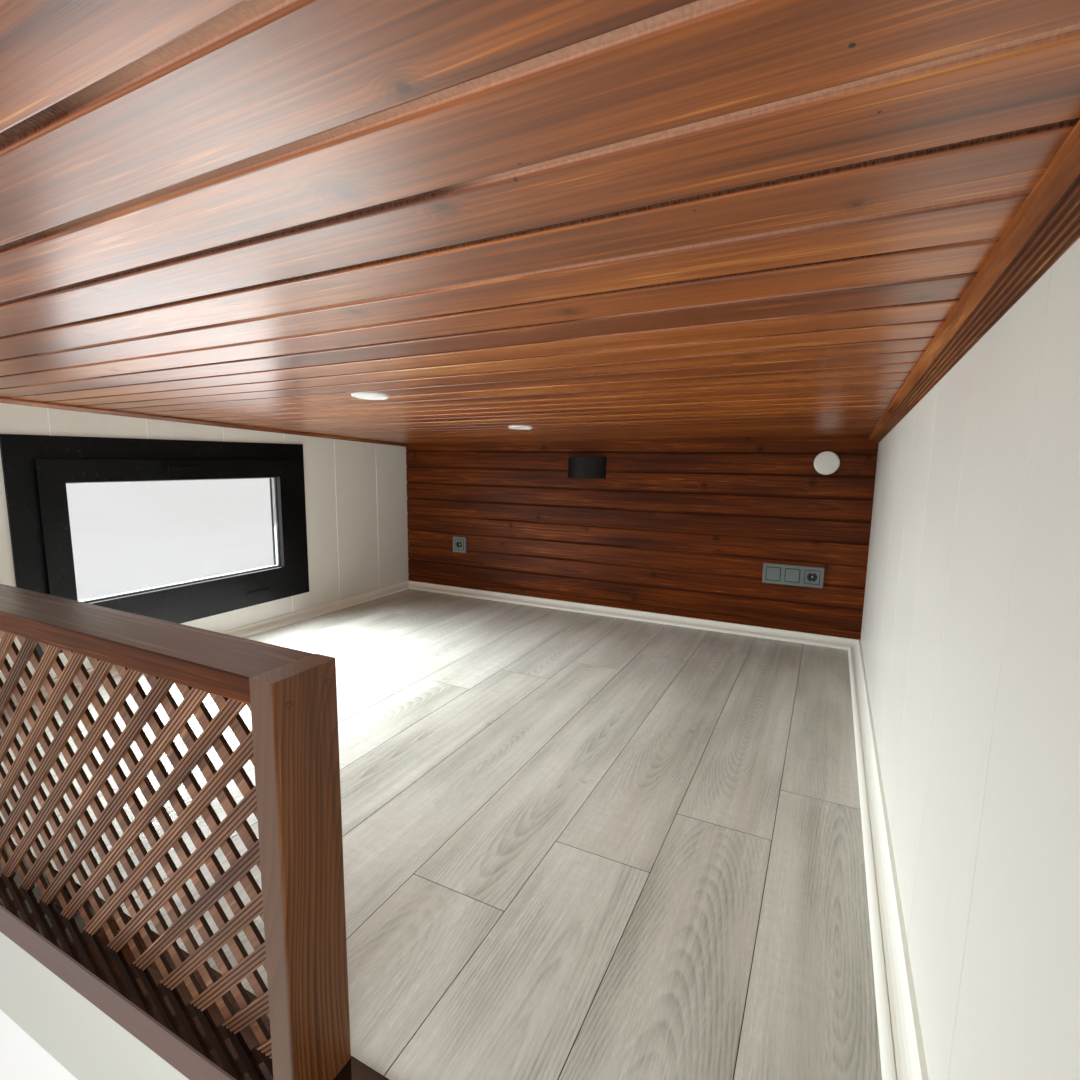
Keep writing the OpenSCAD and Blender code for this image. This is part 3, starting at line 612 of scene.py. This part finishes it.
def bright_metal():
    """Brushed aluminium of spacers and contacts."""
    g = Graph("brushed_aluminium")
    brushed = g.noise(g.scaled(900.0, 8.0, 8.0), 1.0, 2.0)
    colour = g.ramp(brushed, [(0.3, srgb(196, 198, 198)), (0.7, srgb(224, 225, 224))])
    return g.finish(colour, g.fit(brushed, 0.3, 0.7, 0.3, 0.45), g.bump(brushed, 0.0001, 0.3), Metallic=0.6)


def glass_material():
    """Clear glass with a faint haze."""
    g = Graph("clear_glass")
    haze = g.noise(g.place(), 8.0, 2.0)
    return g.finish(srgb(222, 230, 230), g.fit(haze, 0.3, 0.7, 0.01, 0.04), Alpha=0.06)


def sawn_timber():
    """Plain softwood of the hidden timber."""
    g = Graph("sawn_timber")
    grain = g.noise(g.scaled(60.0, 2.0, 60.0), 1.0, 3.0, 0.6)
    colour = g.ramp(grain, [(0.3, srgb(176, 142, 98)), (0.7, srgb(216, 188, 144))])
    return g.finish(colour, 0.75, g.bump(grain, 0.0005, 0.4))


# Dressing of the CAD pieces

CEILING_TONES = (srgb(78, 34, 9), srgb(138, 70, 20), srgb(186, 102, 30), srgb(226, 154, 76))
CORNICE_TONES = (srgb(72, 33, 13), srgb(124, 66, 30), srgb(160, 94, 48), srgb(190, 126, 74))
END_TONES = (srgb(44, 16, 3), srgb(82, 35, 7), srgb(118, 56, 12), srgb(170, 98, 36))
RAIL_TONES = (srgb(44, 18, 6), srgb(72, 35, 14), srgb(94, 50, 23), srgb(126, 76, 42))
POST_TONES = (srgb(48, 24, 9), srgb(76, 43, 20), srgb(102, 63, 34), srgb(142, 98, 60))
SLAT_TONES = (srgb(56, 30, 18), srgb(98, 63, 42), srgb(128, 88, 62), srgb(156, 114, 86))
STRIP_TONE = (srgb(78, 40, 24), srgb(226, 176, 148))
# Painted shade in the sunk strips of the end wall and cladding: dark and light
SHADE_TONE = (srgb(66, 29, 13), srgb(104, 56, 28))
# Painted sheen on the tops of the rail and post, and painted shade on the top of the floor edge: dark and
# light colour, and roughness
RAIL_TOP_SHEEN = (srgb(42, 35, 32), srgb(104, 94, 88), 0.36)
POST_TOP_SHEEN = (srgb(42, 35, 32), srgb(84, 73, 67), 0.34)
EDGE_TOP_SHADE = (srgb(8, 4, 3), srgb(20, 10, 7), 0.09)
# Painted light on faces to the front of the post and the floor edge: colour, and how much of it
POST_FRONT_LIGHT = (srgb(94, 72, 59), 0.7)
EDGE_FRONT_LIGHT = (srgb(98, 72, 62), 0.55)
TIMBER_EDGE = 0.0012
FRAME_EDGE = 0.0015
SOCKET_EDGE = 0.0008


def soften(piece, width):
    """Rounds the edges of a piece a little."""
    modifier = piece.modifiers.new("soft_edges", "BEVEL")
    modifier.width = width
    modifier.segments = 2
    modifier.limit_method = "ANGLE"
    modifier.angle_limit = math.radians(40)


def dress(names, material, bevel=0.0):
    """Gives CAD nodes a material, and a fine rounding to catch the light."""
    for name in names:
        node = NODES[name]
        node.data.materials.clear()
        node.data.materials.append(material)
        if bevel:
            soften(node, bevel)


def boarded(name, along, run, first, depth, tones, start, strip_tone, **more):
    """Tongued boards. run goes across them, first is their first joint, and start is the first number."""
    return pine(name, (along, board_middle(run, first), depth), board_number(run, first, start), tones,
                strip_tone=strip_tone, **more)


def dress_boards():
    """Ceiling, end wall and outer cladding."""
    along_x, along_y, along_z = axis("x"), axis("y"), axis("z")
    height_up = axis("z", 1.0, -Z_FLOOR)
    dress(["ceiling_boards"], boarded(
        "ceiling_pine", along_x, slope_run, CEILING_FIRST, slope_depth, CEILING_TONES, 3.0, STRIP_TONE,
        gloss=0.4, coat=1.0, specular=0.25, pins=0.6, knot_share=0.6, contrast=0.8))
    dress(["end_wall_boards"], boarded(
        "end_wall_pine", along_x, height_up, END_FIRST, axis("y", 1.0, -Y_END), END_TONES, 40.0, SHADE_TONE,
        gloss=0.36, coat=0.0, specular=0.14, knot_share=0.55, figure=0.35, contrast=0.65))
    for name, along, inward, start in (("left_cladding", along_y, axis("x", 1.0, CAD_HIGH.x), 80.0),
                                       ("right_cladding", along_y, axis("x", -1.0, CAD_HIGH.x), 110.0),
                                       ("end_cladding", along_x, axis("y", -1.0, CAD_HIGH.y), 140.0)):
        dress([name], boarded(
            name + "_pine", along, along_z, BOARD_COVER, inward, END_TONES, start, SHADE_TONE,
            gloss=0.45, coat=0.2))


def dress_balustrade():
    """Rail, floor edge, posts and lattice, with the cornices, which are stained like them."""
    along_x, along_y, along_z = axis("x"), axis("y"), axis("z")
    across_rail, under_rail = axis("y", 1.0, -Y_LATTICE), axis("z", 1.0, -RAIL_HIGH.z)
    dress(["top_rail"], pine(
        "rail_pine", (along_x, across_rail, under_rail), fixed(4.0), RAIL_TONES, gloss=0.4, coat=0.0,
        specular=0.08, knot_share=0.5, figure=0.25, top=RAIL_TOP_SHEEN, coat_rough=0.24), TIMBER_EDGE)
    dress(["edge_board", "edge_batten"], pine(
        "edge_pine", (along_x, across_rail, under_rail), fixed(6.0), RAIL_TONES, gloss=0.4, coat=0.0,
        specular=0.35, figure=0.25, top=EDGE_TOP_SHADE, front=EDGE_FRONT_LIGHT, coat_rough=0.06), TIMBER_EDGE)
    dress(["end_post"], pine(
        "post_pine", (along_z, across_rail, axis("x", 1.0, -POST_HIGH.x)), fixed(9.4), POST_TONES,
        gloss=0.38, coat=0.0, specular=0.2, knot_share=0.0, ring=0.0068, figure=0.7, plain=0.62,
        contrast=0.45, wander=0.05, tilt=0.3, top=POST_TOP_SHEEN, front=POST_FRONT_LIGHT, coat_rough=0.2))
    dress(["wall_post"], pine(
        "wall_post_pine", (along_z, across_rail, along_x), fixed(12.0), POST_TONES, gloss=0.38))
    dress(["lattice"], pine(
        "slat_pine", (slat_direction(1.0), across_rail, slat_direction(-1.0)), slat_number, SLAT_TONES,
        gloss=0.46, coat=0.1, specular=0.3, knot_share=0.1, flutes=slat_flute, backlit=slat_behind))
    dress(["right_cornice"], pine(
        "right_cornice_pine", (along_y, along_z, along_x), fixed(21.0), CORNICE_TONES,
        gloss=0.36, coat=0.15, specular=0.3, flutes=cornice_flute))
    dress(["left_cornice"], pine(
        "left_cornice_pine", (along_y, along_z, along_x), fixed(22.0), CORNICE_TONES,
        gloss=0.36, coat=0.15, specular=0.3))


def dress_others():
    """Walls, floor, window, roof, hidden timber and fittings."""
    dress(["left_wall_panel", "right_wall_panel", "underside_lining"],
          white_panel("white_panel", srgb(222, 220, 210)))
    dress(["front_fascia"], white_panel("white_fascia", srgb(214, 213, 202)))
    dress(["left_skirting", "end_skirting", "right_skirting"],
          white_panel("skirting_foil", srgb(236, 237, 225), 0.32))
    dress(["plank_floor"], oak_planks())
    dress(["window_frame", "window_sash", "window_handle"],
          moulded("anthracite_plastic", srgb(12, 13, 14), 0.36, 0.14), FRAME_EDGE)
    dress(["window_glass"], glass_material())
    dress(["roof_sheet", "roof_front_fascia", "roof_rear_fascia", "roof_verges", "left_corner_trim",
           "right_corner_trim", "left_front_jamb", "right_front_jamb", "window_reveal"], roof_metal())
    dress(["left_wall_core", "right_wall_core", "end_wall_core", "roof_core", "floor_joists", "deck_board"],
          sawn_timber())
    dress(["ceiling_spots", "vent_disc"], moulded("white_plastic", srgb(246, 246, 242), 0.34))
    dress(["single_socket", "triple_socket"], GREY_PLASTIC, SOCKET_EDGE)
    dress(["wall_lamp"], moulded("black_paint", srgb(28, 26, 24), 0.5, 0.2))


GREY_PLASTIC = moulded("grey_plastic", srgb(112, 121, 119), 0.42)
# Black plastic of the drain cover, also used as painted shade round the socket modules and in the pin holes.
BLACK_PLASTIC_AND_SHADE = moulded("black_plastic_and_shade", srgb(8, 8, 8), 0.5, 0.1)
dress_boards()
dress_balustrade()
dress_others()


# Ways of making small pieces

def add_piece(name, material, build, bevel=0.0):
    """Makes one piece from mesh code. It rides on the bay."""
    mesh = bpy.data.meshes.new(name)
    shape = bmesh.new()
    build(shape)
    bmesh.ops.recalc_face_normals(shape, faces=shape.faces)
    shape.to_mesh(mesh)
    shape.free()
    mesh.materials.append(material)
    piece = bpy.data.objects.new(name, mesh)
    bpy.context.scene.collection.objects.link(piece)
    if bevel:
        soften(piece, bevel)
    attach(piece, "root")
    return piece


def rectangle(low, high):
    """Corners of a rectangle, in order."""
    return (low[0], low[1]), (high[0], low[1]), (high[0], high[1]), (low[0], high[1])


def square(half):
    """Corners of a square round zero."""
    return rectangle((-half, -half), (half, half))


def add_bridge(shape, a, b):
    """Faces between two closed loops of as many points."""
    for i in range(len(a)):
        j = (i + 1) % len(a)
        shape.faces.new((a[i], a[j], b[j], b[i]))


def add_block(shape, low, high):
    corners = [shape.verts.new((x, y, z)) for x in (low[0], high[0]) for y in (low[1], high[1])
               for z in (low[2], high[2])]
    for face in ((0, 1, 3, 2), (4, 6, 7, 5), (0, 4, 5, 1), (2, 3, 7, 6), (0, 2, 6, 4), (1, 5, 7, 3)):
        shape.faces.new([corners[i] for i in face])


def add_ring(shape, depths, outlines, place):
    """A flat ring between two depths. outlines are its outer and inner edge, and place makes a corner's
    point from a depth and the corner."""
    loops = [[shape.verts.new(place(depth, *corner)) for corner in outline]
             for depth in depths for outline in outlines]
    near_outer, near_inner, far_outer, far_inner = loops
    add_bridge(shape, near_outer, near_inner)
    add_bridge(shape, far_outer, far_inner)
    add_bridge(shape, near_outer, far_outer)
    add_bridge(shape, near_inner, far_inner)


def add_turned(shape, centre, direction, profile, segments):
    """A turned form: profile holds (radius, height) pairs, and direction is its axis."""
    axis_way = Vector(direction).normalized()
    side = axis_way.orthogonal().normalized()
    other = axis_way.cross(side)
    rows = []
    for radius, height in profile:
        row = []
        for i in range(segments):
            angle = 2 * math.pi * i / segments
            place = Vector(centre) + axis_way * height
            place += (side * math.cos(angle) + other * math.sin(angle)) * radius
            row.append(shape.verts.new(place))
        rows.append(row)
    for a, b in zip(rows, rows[1:]):
        add_bridge(shape, a, b)
    shape.faces.new(rows[0])
    shape.faces.new(rows[-1])


# Window pieces. The sash covers GLASS_EDGE of the glass, and the rings reach SEAL_UNDER behind it

GLASS_EDGE = 0.0117
SEAL_UNDER = 0.001
GASKET_WIDTH = 0.004
GASKET_DEPTH = 0.003
SPACER_WIDTH = 0.007
SPACER_INSET = 0.004
PLATE_SUNK = 0.001


def glass_opening(inset):
    """The seen rectangle of glass, made smaller by inset."""
    inset += GLASS_EDGE
    return rectangle((GLASS_LOW.y + inset, GLASS_LOW.z + inset), (GLASS_HIGH.y - inset, GLASS_HIGH.z - inset))


def add_glass_ring(name, material, depths, width, bevel):
    outlines = (glass_opening(-SEAL_UNDER), glass_opening(width))
    add_piece(name, material,
              lambda shape: add_ring(shape, depths, outlines, lambda x, y, z: (x, y, z)), bevel)


def add_frame_plate(name, material, back, up, width, height, thick, bevel):
    """A small plate on the window frame. back is from the end wall and up from the floor, to its middle."""
    y, z = Y_END - back, Z_FLOOR + up
    low = (FRAME_FACE - PLATE_SUNK, y - width / 2, z - height / 2)
    high = (FRAME_FACE + thick, y + width / 2, z + height / 2)
    add_piece(name, material, lambda shape: add_block(shape, low, high), bevel)


def window_pieces():
    """Seal and spacer of the glass, and two plates on the frame."""
    face = GLASS_HIGH.x
    add_glass_ring("glass_gasket", moulded("black_rubber", srgb(20, 20, 20), 0.6),
                   (face, face + GASKET_DEPTH), GASKET_WIDTH, 0.0008)
    add_glass_ring("glass_spacer", bright_metal(),
                   (GLASS_LOW.x + SPACER_INSET, face - SPACER_INSET), SPACER_WIDTH, 0.0005)
    add_frame_plate("drain_cover", BLACK_PLASTIC_AND_SHADE, back=1.0045, up=0.175,
                    width=0.112, height=0.015, thick=0.003, bevel=0.0015)
    # A small light grey plate on the frame.
    add_frame_plate("frame_light_plate", moulded("light_grey_plate", srgb(170, 172, 170), 0.4), back=0.799, up=0.2605,
                    width=0.006, height=0.024, thick=0.002, bevel=0.001)


# Socket pieces. Profiles hold (radius, height) pairs

INTO_ROOM = (0, -1, 0)
ROCKER_HALF = 0.0275
ROCKER_EDGE = 0.002
ROCKER_SUNK = 0.0005
ROCKER_PROUD = 0.0016
ROCKER_TILT = 0.0008
GAP_OUTLINES = (square(0.0292), square(0.0276))
GAP_PROUD = 0.0003
GAP_DEPTH = 0.002
WELL_DEPTH = 0.008
WELL_SHADE_SUNK = 0.0086
WELL_SHADE_PROFILE = ((0.0192, 0), (0.0192, 0.0084), (0.0186, 0.0086), (0.0184, 0.0012), (0.004, 0.0010))
HOLE_STEP = 0.0095
HOLE_SHADE_PROFILE = ((0.0034, 0), (0.0034, 0.0008), (0.0026, 0.0010), (0.0022, 0.0004))
EARTH_STEP = 0.0165
EARTH_HALF_WIDTH = 0.0022
EARTH_HALF_HEIGHT = 0.0012
EARTH_DEPTHS = (0.001, 0.009)
SCREW_PROFILE = ((0.003, 0), (0.003, 0.0006), (0.0016, 0.0012))


def socket_pieces():
    """Rockers of the switch and the blank module, dark rings painted as the shade round every module, dark
    discs painted as the shade in the wells and pin holes, and earth clips with screws.
    """
    single_low, single_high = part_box("single_socket")
    triple_low, triple_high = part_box("triple_socket")
    middle = (triple_low.z + triple_high.z) / 2
    pitch = ((triple_high.x - triple_low.x) - (triple_high.z - triple_low.z)) / 2
    centre = (triple_low.x + triple_high.x) / 2
    modules = (centre - pitch, centre)
    wells = ((single_low.x + single_high.x) / 2, centre + pitch)
    face = triple_low.y

    def rockers(shape):
        for x in modules:
            rim = [shape.verts.new((x + a, face + ROCKER_SUNK, middle + b)) for a, b in square(ROCKER_HALF)]
            crown = []
            for a, b in square(ROCKER_HALF - ROCKER_EDGE):
                proud = ROCKER_PROUD + math.copysign(ROCKER_TILT, b)
                crown.append(shape.verts.new((x + a, face - proud, middle + b)))
            shape.faces.new(crown)
            shape.faces.new(rim[::-1])
            add_bridge(shape, rim, crown)
    add_piece("switch_rockers", GREY_PLASTIC, rockers, 0.0006)

    # Painted shade: thin black rings stand proud round each module, for the shade in the narrow space round
    # it.
    def gap_shades(shape):
        front = face - GAP_PROUD
        for x in (*modules, centre + pitch, wells[0]):
            add_ring(shape, (front, front + GAP_DEPTH), GAP_OUTLINES, lambda y, a, b: (x + a, y, middle + b))
    add_piece("module_gap_shades", BLACK_PLASTIC_AND_SHADE, gap_shades)

    # Painted shade: a dark turned lining in each well, for the shade in it.
    def well_shades(shape):
        for x in wells:
            add_turned(shape, (x, face + WELL_SHADE_SUNK, middle), INTO_ROOM, WELL_SHADE_PROFILE, 40)
    add_piece("socket_well_shades", moulded("well_shade_plastic", srgb(38, 42, 42), 0.5), well_shades)

    # Painted shade: black discs at the bottom of the wells, for the shade in the pin holes.
    def hole_shades(shape):
        for x in wells:
            for step in (-HOLE_STEP, HOLE_STEP):
                add_turned(shape, (x + step, face + WELL_DEPTH, middle), INTO_ROOM, HOLE_SHADE_PROFILE, 16)
    add_piece("socket_hole_shades", BLACK_PLASTIC_AND_SHADE, hole_shades)

    def earths(shape):
        for x in wells:
            for z in (middle - EARTH_STEP, middle + EARTH_STEP):
                add_block(shape, (x - EARTH_HALF_WIDTH, face + EARTH_DEPTHS[0], z - EARTH_HALF_HEIGHT),
                          (x + EARTH_HALF_WIDTH, face + EARTH_DEPTHS[1], z + EARTH_HALF_HEIGHT))
            add_turned(shape, (x, face + WELL_DEPTH, middle), INTO_ROOM, SCREW_PROFILE, 16)
    add_piece("earth_clips", bright_metal(), earths, 0.0003)


# Ceiling spots: distances along the ceiling from the end wall, distance from the left wall, and how far
# each lens stands out

SPOT_RUNS = (0.660, 1.473)
SPOT_ACROSS = 1.107
SPOT_PROUD = 0.0028
LENS_PROFILE = ((0.0405, 0), (0.0400, 0.0008), (0.0300, 0.0018), (0.0150, 0.0024), (0.004, 0.0026))


def spot_pieces():
    """Frosted lenses of the two ceiling spots."""
    down = Vector((math.sin(ROOF_CROSS), -math.sin(ROOF_PITCH), -math.cos(ROOF_PITCH)))
    x = SPOT_ACROSS - X_WALL

    def lenses(shape):
        for run in SPOT_RUNS:
            y = Y_END - run * math.cos(ROOF_PITCH)
            z = Z_CEILING + x * math.tan(ROOF_CROSS) + run * math.sin(ROOF_PITCH)
            add_turned(shape, Vector((x, y, z)) + down * SPOT_PROUD, down, LENS_PROFILE, 48)
    add_piece("spot_lenses", moulded("frosted_lens", srgb(246, 246, 242), 0.5), lenses)


# Post screws: each one's distance from the front of the floor edge, and down from the post's top

POST_SCREWS = ((0.020, 0.030), (0.072, 0.024))
POST_SCREW_SUNK = 0.0006
POST_SCREW_PROFILE = ((0.0042, 0), (0.0042, 0.0009), (0.0036, 0.0011), (0.0014, 0.0003))


def screw_pieces():
    """Sunk screw heads in the end post."""
    def screws(shape):
        for back, down in POST_SCREWS:
            place = (POST_HIGH.x - POST_SCREW_SUNK, EDGE_LOW.y + back, POST_HIGH.z - down)
            add_turned(shape, place, (1, 0, 0), POST_SCREW_PROFILE, 20)
    add_piece("post_screws", moulded("stained_screw", srgb(44, 30, 22), 0.4), screws)


window_pieces()
socket_pieces()
spot_pieces()
screw_pieces()


# Camera, fitted to the photograph: its place from the right wall, the end wall and the floor

CAMERA_PLACE = Vector((X_WALL - 0.1544, Y_END - 2.6451, Z_FLOOR + 0.7578))
CAMERA_YAW, CAMERA_PITCH, CAMERA_ROLL = 0.4647, -0.1393, 0.0121
CAMERA_LENS = 19.226
CAMERA_SENSOR = 36.0
CAMERA_NEAR = 0.01


def make_camera():
    camera = bpy.data.objects.new("camera", bpy.data.cameras.new("camera"))
    bpy.context.scene.collection.objects.link(camera)
    ahead = Vector((-math.sin(CAMERA_YAW) * math.cos(CAMERA_PITCH),
                    math.cos(CAMERA_YAW) * math.cos(CAMERA_PITCH), math.sin(CAMERA_PITCH)))
    level = Vector((math.cos(CAMERA_YAW), math.sin(CAMERA_YAW), 0))
    upright = level.cross(ahead)
    right = level * math.cos(CAMERA_ROLL) + upright * math.sin(CAMERA_ROLL)
    up = right.cross(ahead)
    turn = Matrix((right, up, -ahead)).transposed()
    camera.matrix_world = Matrix.Translation(CAMERA_PLACE) @ turn.to_4x4()
    camera.data.lens = CAMERA_LENS
    camera.data.sensor_width = CAMERA_SENSOR
    camera.data.clip_start = CAMERA_NEAR
    bpy.context.scene.camera = camera


# Stage and light. A level is how bright the surroundings are, where 1 is white

WHITE = (1.0, 1.0, 1.0, 1.0)
DAYLIGHT = (0.95, 1.0, 1.03)
SKYLIGHT = (0.92, 1.0, 1.06)
WORLD_LEVEL = 0.44
FLOOR_LIFT = 0.4
STAGE_HALF = 30.0
PANE_GAP = 0.004
PANE_SIZE = (0.95, 0.55)


def make_stage():
    """A pale floor, which looks white to the camera and in mirrors."""
    mesh = bpy.data.meshes.new("stage_floor")
    mesh.from_pydata([(*corner, 0) for corner in square(STAGE_HALF)], [], [(0, 1, 2, 3)])
    floor = bpy.data.objects.new("stage_floor", mesh)
    bpy.context.scene.collection.objects.link(floor)
    g = Graph("stage_floor")
    colour = g.ramp(g.noise(g.place(), 1.5, 0.0), [(0.3, (0.80, 0.80, 0.79)), (0.7, (0.84, 0.84, 0.83))])
    lift = g.times(g.seen(), FLOOR_LIFT)
    mesh.materials.append(g.finish(colour, 0.9, Emission_Color=WHITE, Emission_Strength=lift))
    mesh.materials[0].cycles.emission_sampling = "NONE"


def area_lamp(name, place, target, size, power, colour=(1, 1, 1), mirrored=True, gathered=True, spread=180):
    """A soft lamp that the camera can't see. One that isn't mirrored leaves no glint, and one
    that isn't gathered only shows in gloss."""
    data = bpy.data.lights.new(name, "AREA")
    data.shape = "RECTANGLE"
    data.size, data.size_y = size
    data.energy = power
    data.color = colour
    data.spread = math.radians(spread)
    lamp = bpy.data.objects.new(name, data)
    bpy.context.scene.collection.objects.link(lamp)
    lamp.location = place
    lamp.rotation_euler = (Vector(target) - Vector(place)).to_track_quat("-Z", "Y").to_euler()
    lamp.visible_camera = False
    lamp.visible_glossy = mirrored
    lamp.visible_diffuse = gathered


def make_lights():
    """Daylight through the window, the gloss that it and the floor below it leave on the boards, light from
    the open front, and a soft light from above."""
    middle = (GLASS_LOW + GLASS_HIGH) / 2
    window = (GLASS_HIGH.x + PANE_GAP, middle.y, middle.z)
    bright_floor = Vector((-0.78, -0.15, Z_FLOOR + 0.02))
    area_lamp("window_daylight", window, (0.2, middle.y - 0.35, middle.z - 0.42), PANE_SIZE,
              power=16, colour=SKYLIGHT, mirrored=False, spread=105)
    area_lamp("sky_daylight", window, (-0.42, middle.y, middle.z - 0.62), PANE_SIZE,
              power=25, colour=SKYLIGHT, mirrored=False, spread=115)
    area_lamp("window_glow", window, (0.4, middle.y, middle.z), PANE_SIZE, power=3.5, gathered=False)
    area_lamp("floor_glow", bright_floor, (bright_floor.x, bright_floor.y, 1.0), (0.7, 1.4),
              power=10, gathered=False)
    area_lamp("side_daylight", (1.3, -2.2, 0.9), (-1.17, 0.5, 0.6), (1.0, 0.8),
              power=7.5, colour=DAYLIGHT, mirrored=False, spread=90)
    area_lamp("room_daylight", (0.0, -4.2, 1.9), (0.0, 0.6, 0.3), (2.8, 1.8),
              power=20, colour=DAYLIGHT, mirrored=False)
    area_lamp("top_softbox", (1.5, -1.0, 6.0), (0, 0, 0), (4.0, 4.0), power=40)


def make_world():
    """An even sky, white where the camera or a mirror sees it."""
    world = bpy.data.worlds.new("daylight")
    world.use_nodes = True
    bpy.context.scene.world = world
    g = Graph(None, world.node_tree)
    level = g.fit(g.seen(), 0.0, 1.0, WORLD_LEVEL, 1.0)
    background = g.add("ShaderNodeBackground", (("Color", WHITE), ("Strength", level)))
    output = g.add("ShaderNodeOutputWorld")
    g.tree.links.new(background.outputs[0], output.inputs["Surface"])


make_camera()
make_stage()
make_lights()
make_world()
bpy.context.scene.view_settings.view_transform = "Standard"
